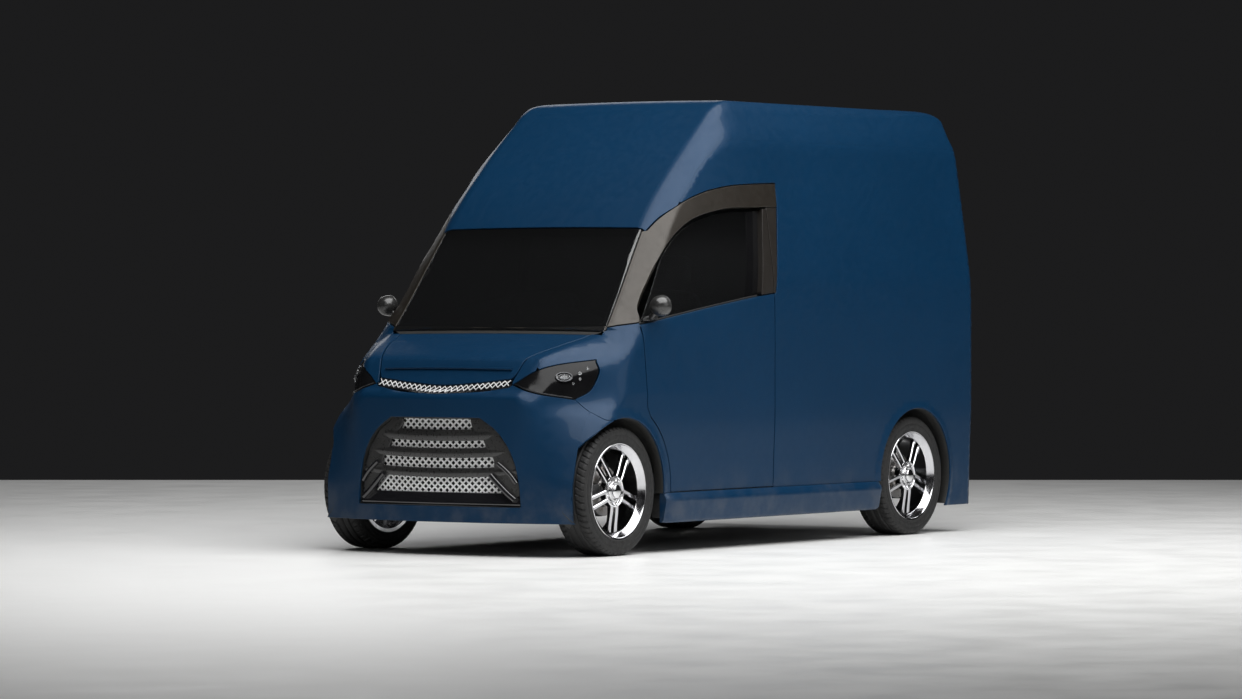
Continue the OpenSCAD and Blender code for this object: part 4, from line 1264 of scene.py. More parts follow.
class VAN_OT_doors(bpy.types.Operator):
    """Cab doors with their inner trim, seal and glass"""

    bl_idname = "van.doors"
    bl_label = "Cab doors"

    def execute(self, context):
        g = 0.0045
        sill = [(x, z - 0.002) for x, z in through(WINDOW_SILL)]
        hinge = [(1.122 - g, 0.990), (1.118 - g, 0.640)]
        front = arc((FRONT_X, AXLE_Z), DOOR_RADIUS + g, 124, 176.5, 24)
        outline = [(SHUT_X + g, 0.2660), (SHUT_X + g, 1.137)] + sill + hinge + front
        outline.append((FRONT_X - DOOR_RADIUS - g, 0.2660))
        outer = panel_mesh(SIDE, on_side(outline), 0.040, hem=0.003, step=0.024)
        both("door_skin", outer, finish("body_paint"), "door_*", "door_*")
        self.glass(sill)
        self.trim()
        return {"FINISHED"}

    def glass(self, sill):
        arch = [(x - 0.007, z - 0.010) for x, z in through(WINDOW_ARCH) if x > 0.130]
        outline = [(0.109, 1.139), (0.109, 1.519)] + arch[::-1] + [(1.1035, 1.006)]
        outline += [(x, z - 0.004) for x, z in sill[::-1]]
        outline = surface_points(SIDE, outline, 0.0305)
        glass = panel_mesh(SIDE, outline, 0.005, inset=0.0308, hem=0.001, step=0.026)
        both("door_window", glass, finish("glass"), "door_*", "door_glass_*")
        # The post's finish is the bronze arch colour darkened: painted shade.
        post = [(0.0908, 1.5215), (0.118, 1.5205), (0.192, 1.1330), (0.0908, 1.1415)]
        trim = panel_mesh(SIDE, on_side(post), 0.027, hem=0.0015, step=0.016, inset=0.0025)
        both("window_post", trim, finish("jamb"), "door_*")
        # A thin dark sheet over the rear of the glass: painted shade standing in for the deep recess by the
        # B-pillar.
        band = [(0.112, 1.516), (0.214, 1.512), (0.290, 1.1155), (0.112, 1.1390)]
        shade = panel_mesh(SIDE, on_side(band), 0.0010, hem=0.0003, step=0.03, inset=0.0295)
        both("window_band", shade, finish("smoked_and_shade"), "door_*")
        path = on_side([(x, z + 0.003) for x, z in sill[2:-2]], 0.0275)
        wiper = sweep(path, bar_section(0.005, 0.010, 0.002, 2))
        both("window_wiper_seal", wiper, finish("seal"), "door_*")

    def trim(self):
        panel = [(0.135, 0.310), (0.135, 1.080), (0.560, 1.030), (1.060, 0.955), (1.060, 0.700),
                 (0.870, 0.480), (0.820, 0.310)]
        card = panel_mesh(
            SIDE, on_side(round_corners(panel, 0.04)), 0.014, inset=0.0402, hem=0.004, step=0.03)
        rest = sweep(
            through(on_side([(0.300, 0.760), (0.450, 0.775), (0.650, 0.790), (0.800, 0.800)],
                            0.072),
                    0.02), bar_section(0.040, 0.034, 0.012, 4))
        pull = on_side([(0.860, 0.820), (0.880, 0.840), (0.960, 0.850), (0.985, 0.832)], 0.066)
        handle = sweep(through(pull, 0.008), round_section(0.008, 10))
        both("door_card", joined(card[:2], rest, handle), finish("dash"), "door_*")


class VAN_OT_nose(bpy.types.Operator):
    """Hood, fenders and front bumper"""

    bl_idname = "van.nose"
    bl_label = "Hood, fenders and bumper"

    def execute(self, context):
        self.hood()
        self.fenders()
        self.bumper()
        return {"FINISHED"}

    def hood(self):
        g = 0.005
        edge = [(x, y - g) for x, y in through(HOOD_EDGE)]
        edge[0] = (1.2520, edge[0][1])
        front = on_nose([(y, strip_middle(y) + 0.0185) for y in np.linspace(0.352, -0.352, 40)])
        sides = on_top([p for p in edge if p[0] < 1.606])
        skin = panel_mesh(
            ABOVE, sides + front + mirrored(sides[::-1]), 0.016, hem=0.003, step=0.018)
        piece("hood_skin", skin, finish("body_paint"), "hood", ["hood"])
        parts = [block((1.2490, side * 0.331, 0.9245), (1.2975, side * 0.359, 0.9385), 0.003)
                 for side in (1, -1)]
        brace = sweep(
            through([(x, 0.0, float(top_line(x)) - 0.022) for x in np.linspace(1.30, 1.58, 10)],
                    0.03),
            bar_section(0.10, 0.012, 0.005))
        cross = [sweep(
            through([(x, y, float(top_line(x)) + 0.008 * (1 - (y / 0.53) ** 2) - 0.021)
                     for y in np.linspace(-w, w, 16)], 0.03), bar_section(0.045, 0.010, 0.004))
            for x, w in ((1.300, 0.46), (1.575, 0.34))]
        piece("hood_braces", joined(*parts, brace, *cross), finish("body_paint"), "hood")

    def fenders(self):
        radius = sizes("van_body").arch_radius
        door = [(1.1225, 0.990), (1.118, 0.640)]
        door += arc((FRONT_X, AXLE_Z), DOOR_RADIUS, 124, 182.7, 26)
        opening = arc((FRONT_X, AXLE_Z), radius, 183.24, 76.35, 60)
        lower = on_side(door + opening + BUMPER_SIDE[1:])
        lower += on_nose(through(BUMPER_TOP[:3][::-1], 0.01)[::-1][1:])
        lower += on_nose(through(LAMP_OUTER[::-1])[1:]) + on_nose(through(LAMP_TOP[::-1])[1:-10])
        while abs(lower[-1][1]) < float(inner_crease(lower[-1][0])) + 0.001:
            lower.pop()
        meet = lower[-1][0]
        crease = on_top([
            (x, float(inner_crease(x)) + 0.0005) for x in np.linspace(meet, 1.2290, 20)])
        side = panel_mesh(
            SIDE, lower + crease + on_side([(x, z) for x, z in PILLAR_FOOT[::-1]]), 0.012,
            hem=at_inner_crease, step=0.022)
        top = on_top([(x, float(inner_crease(x)) + 0.0005) for x in np.linspace(1.2475, meet, 18)])
        lamp = [p for p in on_nose(through(LAMP_TOP)[::-1]) if p[0] > meet + 0.002]
        hood = on_top([(x, y) for x, y in through(HOOD_EDGE)[::-1]])
        upper = panel_mesh(ABOVE, top + lamp + hood, 0.012, hem=at_inner_crease, step=0.020)
        both("fender_skin", joined(side, upper), finish("body_paint"), "body",
             "fender_*")

    def bumper(self):
        zs = np.linspace(BUMPER_Z, 0.627, 34)
        corner = on_side([(float(corner_line(z)), z) for z in zs])
        top = on_nose(through(BUMPER_TOP[:3], 0.01)[1:] + through(BUMPER_TOP[2:5])[1:]
                      + through(BUMPER_TOP[5:]))
        bottom = on_nose([(y, BUMPER_Z) for y in np.linspace(-0.655, 0.655, 60)])
        outline = corner + top + mirrored(top[::-1])[1:] + mirrored(corner[::-1]) + bottom
        edge = through(GRILLE_EDGE)
        hole = round_corners(edge + [(-y, z) for y, z in edge[::-1]], 0.012)
        front = panel_mesh(
            NOSE, outline, 0.014, holes=[on_nose(hole)], hem=at_corner_seam, step=0.020)
        arch = arc((FRONT_X, AXLE_Z), sizes("van_body").arch_radius, 76.35, -24.93, 60)
        loop = on_side(arch) + corner + on_side(BUMPER_SIDE[::-1][1:])
        side = panel_mesh(SIDE, loop, 0.014, hem=at_corner_seam, step=0.020)
        piece("bumper_skin", joined(front, side, flipped(side)), finish("body_paint"), "body",
              ["front_bumper"])


# ---------------------------------------------------------------- repeated parts by Geometry Nodes
class Tree(Nodes):
    """A Geometry Nodes tree with named inputs."""

    def __init__(self, name):
        self.tree = bpy.data.node_groups.new(name, "GeometryNodeTree")
        for way in ("INPUT", "OUTPUT"):
            self.tree.interface.new_socket("Geometry", in_out=way, socket_type="NodeSocketGeometry")
        self.start = self.node("NodeGroupInput")
        self.end = self.node("NodeGroupOutput")
        self.points = self.start.outputs["Geometry"]
        self.values = {}

    def size(self, name, value):
        socket = self.tree.interface.new_socket(name, in_out="INPUT", socket_type="NodeSocketFloat")
        self.values[socket.identifier] = value
        return next(s for s in self.start.outputs if s.identifier == socket.identifier)

    def vector(self, x=0.0, y=0.0, z=0.0):
        return self.fed(self.node("ShaderNodeCombineXYZ"), (x, y, z))

    def box(self, x, y, z):
        node = self.node("GeometryNodeMeshCube")
        self.link(self.vector(x, y, z), node.inputs["Size"])
        return node.outputs["Mesh"]

    def turned(self, mesh, angles):
        node = self.node("GeometryNodeTransform")
        self.link(mesh, node.inputs["Geometry"])
        node.inputs["Rotation"].default_value = angles
        return node.outputs["Geometry"]

    def together(self, *meshes):
        node = self.node("GeometryNodeJoinGeometry")
        for mesh in meshes:
            self.link(mesh, node.inputs["Geometry"])
        return node.outputs["Geometry"]

    def on_points(self, points, mesh):
        node = self.node("GeometryNodeInstanceOnPoints")
        self.link(points, node.inputs["Points"])
        self.link(mesh, node.inputs["Instance"])
        return node.outputs["Instances"]

    def finished(self, geometry, material):
        real = self.node("GeometryNodeRealizeInstances")
        self.link(geometry, real.inputs["Geometry"])
        coat = self.node("GeometryNodeSetMaterial")
        coat.inputs["Material"].default_value = material
        self.link(real.outputs["Geometry"], coat.inputs["Geometry"])
        self.link(coat.outputs["Geometry"], self.end.inputs["Geometry"])

    def made(self, name, points):
        """The plain mesh that the tree makes from points."""
        seed = bpy.data.meshes.new(f"{name}_seed")
        seed.from_pydata([tuple(p) for p in points], [], [])
        obj = bpy.data.objects.new(f"{name}_seed", seed)
        bpy.context.scene.collection.objects.link(obj)
        modifier = obj.modifiers.new("tree", "NODES")
        modifier.node_group = self.tree
        for identifier, value in self.values.items():
            modifier[identifier] = value
        bpy.context.view_layer.update()
        graph = bpy.context.evaluated_depsgraph_get()
        mesh = bpy.data.meshes.new_from_object(obj.evaluated_get(graph))
        bpy.data.objects.remove(obj)
        bpy.data.meshes.remove(seed)
        return mesh


def planted(name, mesh, body, replaces=(), angle=35):
    """A finished piece from a mesh that a tree made."""
    mesh.name = name
    mesh.shade_smooth()
    mesh.set_sharp_from_angle(angle=math.radians(angle))
    obj = bpy.data.objects.new(name, mesh)
    bpy.context.scene.collection.objects.link(obj)
    return settle(obj, body, replaces)


# ---------------------------------------------------------------- grille
def nose_face(y, inset):
    """Place of a surface behind the nose, following its bow."""
    return NOSE_X - 0.010 - (NOSE_X - CREASE_X) * (np.asarray(y) / CORNER_Y) ** 2 - inset


def grille_half(z):
    heights = [p[1] for p in GRILLE_EDGE]
    return np.interp(z, heights, [p[0] for p in GRILLE_EDGE])


MESH_EDGE = [
    (0.182, 0.596), (0.192, 0.556), (0.228, 0.528), (0.252, 0.496), (0.264, 0.466), (0.288, 0.438),
    (0.302, 0.408), (0.302, 0.384), (0.296, 0.362), (0.330, 0.322), (0.372, 0.282), (0.396, 0.246)]


def mesh_half(z):
    return np.interp(z, [p[1] for p in MESH_EDGE[::-1]], [p[0] for p in MESH_EDGE[::-1]])


class VAN_OT_grille(bpy.types.Operator):
    """Front opening with its lining, bars, struts and chrome mesh, and the strip under the hood"""

    bl_idname = "van.grille"
    bl_label = "Grille"

    def execute(self, context):
        self.lining()
        self.bars()
        self.cheeks()
        self.mesh()
        return {"FINISHED"}

    def lining(self):
        edge = through(GRILLE_EDGE)
        loop = round_corners(edge + [(-y, z) for y, z in edge[::-1]], 0.012)
        loop = spread(loop, 0.02)
        face = on_nose([tuple(p) for p in loop])
        middle = np.array([0, 0.40])
        rows = []
        for back, shrink in ((0.004, 0.0005), (0.014, 0.004), (0.040, 0.010), (0.043, 0.030),
                             (0.047, 0.030), (0.047, 0.0005)):
            pull = loop - middle
            pull /= np.linalg.norm(pull, axis=1)[:, None]
            rows.append([(p[0] - back if back < 0.04 else nose_face(q[0], back + 0.006), q[0], q[1])
                         for p, q in zip(face, loop - pull * shrink)])
        piece("grille_frame", lofted(rows, closed=True), finish("moulded"), "body",
              ["grille"])
        back = [tuple(p) for p in loop - (loop - middle) * 0.01]
        flat, faces, rings = fill([np.array(back)], 0.04)
        front = np.array([(float(nose_face(y, 0.060)), y, z) for y, z in flat])
        rear = front - (0.003, 0, 0)
        n = len(flat)
        polys = [tuple(f) for f in faces] + [tuple(k + n for k in f[::-1]) for f in faces]
        ring = rings[0]
        polys += [(a, b, b + n, a + n) for a, b in zip(ring, ring[1:] + ring[:1])]
        piece("grille_backing", outside(np.vstack([front, rear]), polys), finish("gloss"), "body")

    def bars(self):
        parts = []
        for z, height, sag, reach in (
                (0.521, 0.050, 0.010, 0.010), (0.444, 0.042, 0.013, 0.008),
                (0.359, 0.040, 0.015, 0.004)):
            half = float(grille_half(z + sag)) - reach
            ys = np.linspace(-half, half, 40)
            path = [(float(nose_face(y, 0.018)), y, z + sag * (abs(y) / half) ** 2.2) for y in ys]
            scale = [0.80 + 0.20 * float(smooth((1 - abs(y) / half) / 0.25)) for y in ys]
            section = round_corners([
                (-0.010, -height / 2), (0.010, -height / 2), (0.012, 0.0),
                (0.008, height / 2), (-0.010, height / 2)], 0.004, 4)
            parts.append(sweep(path, section, scale=scale))
        piece("grille_bars", joined(*parts), finish("satin"), "body")
        low = [(float(nose_face(y, 0.020)), y, 0.247) for y in np.linspace(-0.425, 0.425, 40)]
        panel = sweep(low, round_corners([
            (-0.010, -0.029), (0.010, -0.029), (0.013, -0.020), (0.006, 0.027), (-0.010, 0.029)],
            0.004, 4))
        struts = []
        for side in (1, -1):
            path = [(float(nose_face(y, 0.013)), side * y, z) for y, z in (
                (0.405, 0.246), (0.376, 0.268), (0.338, 0.302), (0.302, 0.336), (0.286, 0.352))]
            struts.append(sweep(through(path, 0.012), bar_section(0.024, 0.046, 0.008),
                                up=(1, 0, 0.2)))
            path = [(float(nose_face(y, 0.012)), side * y, z) for y, z in (
                (0.412, 0.318), (0.384, 0.352), (0.352, 0.380), (0.322, 0.402))]
            struts.append(sweep(through(path, 0.012), bar_section(0.020, 0.036, 0.008),
                                up=(1, 0, 0.2)))
        piece("grille_lower", joined(panel, *struts), finish("gloss"), "body")

    def cheeks(self):
        """Moulded sides of the opening, which end the mesh."""
        inner = through(MESH_EDGE, 0.012)
        outer = [(float(grille_half(z)) - 0.005, z) for z in np.linspace(0.244, 0.596, 30)]
        shape = panel_mesh(NOSE, on_nose(outer + inner), 0.010, inset=0.018, hem=0.003, step=0.02)
        both("grille_cheek", shape, finish("satin"), "body")

    def mesh(self):
        grille = sizes("van_grille")
        pitch, rows = grille.pitch, []
        count = int(0.45 / pitch) + 1
        for z in np.arange(0.283, 0.600, pitch * 0.9):
            for k in range(-count, count + 1):
                y = k * pitch
                if abs(y) < min(grille_half(z) - pitch * 0.5, mesh_half(z) + pitch * 0.4):
                    rows.append((0.0, y, z))
        mesh = self.lattice("grille_mesh", rows, pitch, pitch * 0.9, grille.wire, grille.recess,
                            0.010)
        planted("grille_mesh", mesh, "body")
        strands, tall = [], 0.0120
        for y in np.arange(-0.336, 0.3365, 0.028):
            for lean in (-1, 1):
                line = [(y + lean * t * 1.17, strip_middle(y + lean * t * 1.17) + t)
                        for t in (-tall, 0.0, tall)]
                strands.append(sweep(on_nose(line, 0.0008), bar_section(0.003, 0.0050, 0.001, 2)))
        piece("strip_mesh", joined(*strands), finish("mesh_metal"), "body")
        ys = np.linspace(-0.352, 0.352, 44)
        lower = [(y, strip_middle(y) - 0.0155) for y in ys]
        upper = [(y, strip_middle(y) + 0.0150) for y in ys[::-1]]
        bed = panel_mesh(NOSE, on_nose(lower + upper), 0.006, inset=0.014, hem=0.001, step=0.02)
        frame_top = [on_nose([(y, strip_middle(y) + s * 0.0150) for y in ys], 0.007)
                     for s in (1, -1)]
        edges = [sweep(path, bar_section(0.010, 0.005, 0.002, 2)) for path in frame_top]
        piece("strip_bed", joined(bed[:2], *edges), finish("gloss"), "body")

    def lattice(self, name, points, pitch, rise, wire, recess, sag):
        """Crossed strips on points, bowed to follow the nose."""
        tree = Tree(name)
        width = tree.size("Pitch", pitch)
        height = tree.size("Row height", rise)
        strand = tree.size("Strand width", wire)
        deep = tree.size("Strand depth", 0.0032)
        bow = tree.size("Bow", (NOSE_X - CREASE_X) / CORNER_Y ** 2)
        place = tree.size("Front", NOSE_X - 0.010 - recess)
        sink = tree.size("Sag", sag)
        slope = math.atan2(rise, pitch)
        length = tree.maths("MULTIPLY", tree.maths("SQRT", tree.maths(
            "ADD", tree.maths("MULTIPLY", width, width), tree.maths("MULTIPLY", height, height))),
            1.04)
        bars = [tree.turned(tree.box(deep, length, strand), (turn, 0, 0)) for turn in (slope,
                                                                                       -slope)]
        ends = tree.on_points(tree.points, tree.together(*bars))
        real = tree.node("GeometryNodeRealizeInstances")
        tree.link(ends, real.inputs["Geometry"])
        split = tree.node("ShaderNodeSeparateXYZ")
        tree.link(tree.node("GeometryNodeInputPosition").outputs[0], split.inputs[0])
        square = tree.maths("MULTIPLY", split.outputs["Y"], split.outputs["Y"])
        ahead = tree.maths("SUBTRACT", place, tree.maths("MULTIPLY", square, bow))
        lift = tree.maths("MULTIPLY", square, tree.maths("DIVIDE", sink, 0.16))
        shift = tree.node("GeometryNodeSetPosition")
        tree.link(real.outputs["Geometry"], shift.inputs["Geometry"])
        tree.link(tree.vector(ahead, 0.0, lift), shift.inputs["Offset"])
        tree.finished(shift.outputs["Geometry"], finish("mesh_metal"))
        return tree.made(name, points)


# ---------------------------------------------------------------- lamps and mirrors
class VAN_OT_lamps(bpy.types.Operator):
    """Headlights and tail lights"""

    bl_idname = "van.lamps"
    bl_label = "Lamps"

    def execute(self, context):
        outline = on_nose(
            through(LAMP_TOP[1:], 0.014) + through(LAMP_OUTER, 0.014)[1:] + through(LAMP_LOWER,
                                                                                    0.014)[1:]
            + [(0.372, 0.7475)])
        flat = CORNER.flat(outline)
        centre = flat.mean(axis=0)
        loop = centre + (flat - centre) * 0.978
        outline = [tuple(p) for p in CORNER.cast(loop)]
        cover = panel_mesh(CORNER, outline, 0.030, hem=0.003, step=0.014, inset=0.0015)
        both("headlight_cover", cover, finish("smoked_and_shade"), "body")
        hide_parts("headlights")
        self.details()
        self.tail()
        return {"FINISHED"}

    def frame_at(self, y, z):
        """Matrix of a place on the lamp, its Z axis outwards and its X axis across."""
        point = NOSE.cast([(y, z)])
        normal = Vector(outward(point)[0])
        across = Vector((0, 0, 1)).cross(normal).normalized()
        up = normal.cross(across)
        turn = Matrix((across, up, normal)).transposed().to_4x4()
        return Matrix.Translation(Vector(point[0])) @ turn

    def details(self):
        ring, lens, spots = [], [], []
        place = self.frame_at(0.560, 0.775)
        for size, height, wire in ((0.036, 0.020, 0.0032), (0.022, 0.012, 0.0022)):
            path = [(size * math.cos(a), height * math.sin(a), 0.0030)
                    for a in np.linspace(0, 2 * math.pi, 48, endpoint=False)]
            ring.append(placed(sweep(path, round_section(wire, 8), closed=True), place))
        dome = lathe([(0, 0.0035), (0.4, 0.0032), (0.8, 0.0022), (1.0, 0.0006), (1.0, -0.001),
                      (0, -0.001)], 40, closed=False)
        oval = Matrix.Diagonal((0.034, 1, 0.018, 1))
        lens.append(placed(dome, place @ Matrix.Rotation(math.pi / 2, 4, "X") @ oval))
        for y, z, size in ((0.602, 0.792, 0.0085), (0.606, 0.768, 0.0065), (0.590, 0.748, 0.0055),
                           (0.618, 0.812, 0.0060)):
            bead = lathe([(0, 0.004), (0.5 * size, 0.0036), (size, 0.0015), (size, -0.001),
                          (0, -0.001)], 24, closed=False)
            spots.append(placed(bead, self.frame_at(y, z) @ Matrix.Rotation(math.pi / 2, 4, "X")))
        low = on_nose(through([(0.592, 0.6865), (0.480, 0.7135), (0.384, 0.7450)], 0.012), -0.0005)
        blade = sweep(low, bar_section(0.004, 0.0045, 0.0015, 2))
        both("headlight_rings", joined(*ring, blade), finish("alloy_dark"), "body")
        both("headlight_lens", joined(*lens, *spots), finish("clear_lens"), "body")

    def tail(self):
        y0, y1, z0, z1 = 0.604, 0.664, 0.766, 0.994
        case = block((REAR_X - 0.0030, 0.600, 0.762), (REAR_X + 0.006, 0.668, 0.998), 0.006, 3)
        both("tail_light_case", case, finish("satin"), "body", None)
        for part, low, high, look in (
                ("stop", z0 + 0.078, z1, "red_lens"),
                ("turn", z0 + 0.040, z0 + 0.074, "clear_lens"),
                ("reflector", z0, z0 + 0.036, "red_lens")):
            lens = block((REAR_X - 0.0078, y0, low), (REAR_X - 0.0022, y1, high), 0.0035, 3)
            both(f"tail_light_{part}", lens, finish(look), "body",
                 None)
        tree = Tree("tail_light_ribs")
        width = tree.size("Rib length", 0.050)
        thick = tree.size("Rib thickness", 0.0016)
        out = tree.size("Rib height", 0.0014)
        points = [(REAR_X - 0.0076, side * (y0 + y1) / 2, z) for side in (1, -1)
                  for z in np.arange(z0 + 0.088, z1 - 0.008, 0.008)]
        tree.finished(tree.on_points(tree.points, tree.box(out, width, thick)),
                      finish("red_lens"))
        planted("tail_light_ribs", tree.made("tail_light_ribs", points), "body",
                ["tail_lights"])


class VAN_OT_mirrors(bpy.types.Operator):
    """Round door mirrors on their arms"""

    bl_idname = "van.mirrors"
    bl_label = "Door mirrors"

    def execute(self, context):
        at = Vector((1.048, 0.745, 1.083))
        shell = lathe([
            (0, 0.0440), (0.014, 0.0425), (0.026, 0.0370), (0.036, 0.0270), (0.043, 0.0135),
            (0.0462, -0.0030), (0.0471, -0.0160), (0.0465, -0.0225), (0.0445, -0.0245),
            (0.0420, -0.0240), (0.0412, -0.0200), (0, -0.0200)], 72, closed=False)
        turn = Matrix.Translation(at) @ Matrix.Rotation(math.radians(-90), 4, "Z")
        housing = placed(shell, turn)
        glass = placed(lathe([(0, -0.0210), (0.0405, -0.0212), (0.0408, -0.0198), (0, -0.0198)], 64,
                             closed=False), turn)
        trim = placed(lathe([(0.0465, -0.0130), (0.0478, -0.0150), (0.0478, -0.0180),
                             (0.0465, -0.0200)], 72), turn)
        arm = through([(1.049, 0.722, 1.062), (1.048, 0.709, 1.046), (1.046, 0.695, 1.033),
                       (1.044, 0.680, 1.022)], 0.004)
        stem = sweep(arm, bar_section(0.022, 0.015, 0.006), up=(1, 0, 0))
        foot = sweep([(0.984, 0.6885, 1.034), (1.008, 0.6865, 1.032), (1.050, 0.6820, 1.025),
                      (1.084, 0.6780, 1.021)], bar_section(0.018, 0.026, 0.007),
                     scale=[0.35, 1.0, 1.0, 0.35])
        both("mirror_housing", joined(housing, stem, foot), finish("satin"), "door_*",
             "mirror_*")
        both("mirror_trim", trim, finish("satin"), "door_*")
        both("mirror_face", glass, finish("mirror"), "door_*")
        return {"FINISHED"}


# ---------------------------------------------------------------- wheels
class VAN_OT_wheels(bpy.types.Operator):
    """Four polished rims with twin spokes, discs and nuts, and four treaded tyres"""

    bl_idname = "van.wheels"
    bl_label = "Wheels"

    def execute(self, context):
        rim = self.rim()
        hub = self.hub()
        disc = self.disc()
        nuts = self.nuts()
        tyre = self.tyre()
        for name in WHEELS:
            x = FRONT_X if name.startswith("front") else AFT_X
            y = node_centre(f"tyre_{name}").y
            turn = Matrix.Translation((x, y, AXLE_Z))
            if name.endswith("right"):
                turn = turn @ Matrix.Rotation(math.pi, 4, "Z")
            body = f"wheel_{name}"
            for part, shape, look, slot, nodes in (
                    ("rim", rim, "alloy", "polished_rim", [f"rim_{name}"]),
                    ("hub", hub, "chrome", "polished_rim", []),
                    ("disc", disc, "steel", "chassis_steel", []),
                    ("nuts", nuts, "chrome", "polished_rim", []),
                    ("tyre_skin", tyre, "rubber", "tyre_rubber", [f"tyre_{name}"])):
                piece(f"{part}_{name}", placed(shape, turn), finish(look), body, nodes)
        return {"FINISHED"}

    def rim(self):
        w = RIM_W / 2
        r = RIM_R
        barrel = lathe([
            (r - 0.018, -w), (r - 0.003, -w), (r, -w + 0.003), (r, -w + 0.009),
            (r - 0.012, -w + 0.013),
            (r - 0.015, w - 0.020), (r - 0.006, w - 0.010), (r, w - 0.008), (r, w - 0.0025),
            (r - 0.0025, w), (r - 0.0065, w - 0.0005), (r - 0.0085, w - 0.004),
            (r - 0.0105, w - 0.0060),
            (r - 0.0290, w - 0.0215), (r - 0.0315, w - 0.0260), (r - 0.0300, w - 0.0320),
            (r - 0.0250, w - 0.0400), (r - 0.0225, -w + 0.010)], 128)
        wheels = sizes("van_wheels")
        parts = [barrel]
        inner, outer = 0.062, r - 0.026
        for k in range(wheels.spoke_pairs):
            for side in (-1, 1):
                rows = []
                for t in np.linspace(0, 1, 12):
                    radius = inner + (outer - inner) * t
                    half = wheels.spoke_width * (0.62 - 0.10 * math.sin(math.pi * t) + 0.10 * t)
                    offset = side * wheels.spoke_gap * (0.50 + 0.12 * t)
                    front = w - 0.026 - 0.006 * smooth((t - 0.15) / 0.8) + 0.006 * (1 - t) ** 2
                    back = front - 0.024 + 0.006 * math.sin(math.pi * t)
                    rows.append([
                        (radius, back, offset - half), (radius, front - 0.004, offset - half),
                        (radius, front, offset - half * 0.62),
                        (radius, front, offset + half * 0.62),
                        (radius, front - 0.004, offset + half), (radius, back, offset + half)])
                turn = Matrix.Rotation(2 * math.pi * k / wheels.spoke_pairs + math.pi / 2, 4, "Y")
                parts.append(placed(lofted(rows), turn))
        return joined(*parts)

    def hub(self):
        w = RIM_W / 2
        return lathe([
            (0, w - 0.060), (0.066, w - 0.060), (0.070, w - 0.056), (0.071, w - 0.026),
            (0.069, w - 0.0215), (0.064, w - 0.0205), (0.0615, w - 0.0230), (0.0600, w - 0.0320),
            (0.0470, w - 0.0320), (0.0450, w - 0.0200), (0.0430, w - 0.0180), (0.0370, w - 0.0180),
            (0.0350, w - 0.0210), (0.0310, w - 0.0215), (0.0300, w - 0.0100), (0.0275, w - 0.0070),
            (0.020, w - 0.0050), (0.010, w - 0.0042), (0, w - 0.0040)], 96, closed=False)

    def nuts(self):
        wheels, w, parts = sizes("van_wheels"), RIM_W / 2, []
        cap = lathe([
            (0.0225, w - 0.0080), (0.0262, w - 0.0072), (0.0272, w - 0.0090), (0.0272, w - 0.0120),
            (0.0225, w - 0.0120)], 64)
        for k in range(wheels.nuts):
            a = 2 * math.pi * (k + 0.5) / wheels.nuts + math.pi / 2
            nut = lathe([(0, -0.004), (0.0058, -0.004), (0.0058, 0.008), (0.0048, 0.0110),
                         (0.0030, 0.0120), (0, 0.0120)], 6, closed=False)
            at = Matrix.Translation((0.0535 * math.cos(a), w - 0.031, 0.0535 * math.sin(a)))
            parts.append(placed(nut, at))
        valve = lathe([(0, 0.010), (0.0035, 0.009), (0.0038, -0.016), (0, -0.016)], 12,
                      closed=False)
        parts.append(placed(valve, Matrix.Translation((RIM_R - 0.034, w - 0.036, 0.0))))
        return joined(cap, *parts)

    def disc(self):
        w = RIM_W / 2
        top, low = w - 0.0785, w - 0.0875
        ring = lathe([
            (0.058, low), (0.107, low), (0.108, low + 0.001), (0.108, top - 0.001), (0.107, top),
            (0.070, top), (0.066, w - 0.066), (0.060, w - 0.0615), (0.026, w - 0.0615),
            (0.026, low),
            ], 96)
        tree = Tree("disc_holes")
        size = tree.size("Hole radius", 0.0042)
        deep = tree.size("Hole depth", 0.0004)
        drum = tree.node("GeometryNodeMeshCylinder")
        drum.inputs["Vertices"].default_value = 12
        tree.link(size, drum.inputs["Radius"])
        tree.link(deep, drum.inputs["Depth"])
        turned = tree.turned(drum.outputs["Mesh"], (math.pi / 2, 0, 0))
        points = [(r * math.cos(a + s), top + 0.0001, r * math.sin(a + s))
                  for r, s in ((0.080, 0.0), (0.090, 0.12), (0.100, 0.24))
                  for a in np.linspace(0, 2 * math.pi, 18, endpoint=False)]
        tree.finished(tree.on_points(tree.points, turned), finish("steel"))
        mesh = tree.made("disc_holes", points)
        holes = (np.array([v.co[:] for v in mesh.vertices]),
                 [tuple(p.vertices) for p in mesh.polygons])
        bpy.data.meshes.remove(mesh)
        return joined(ring, holes)

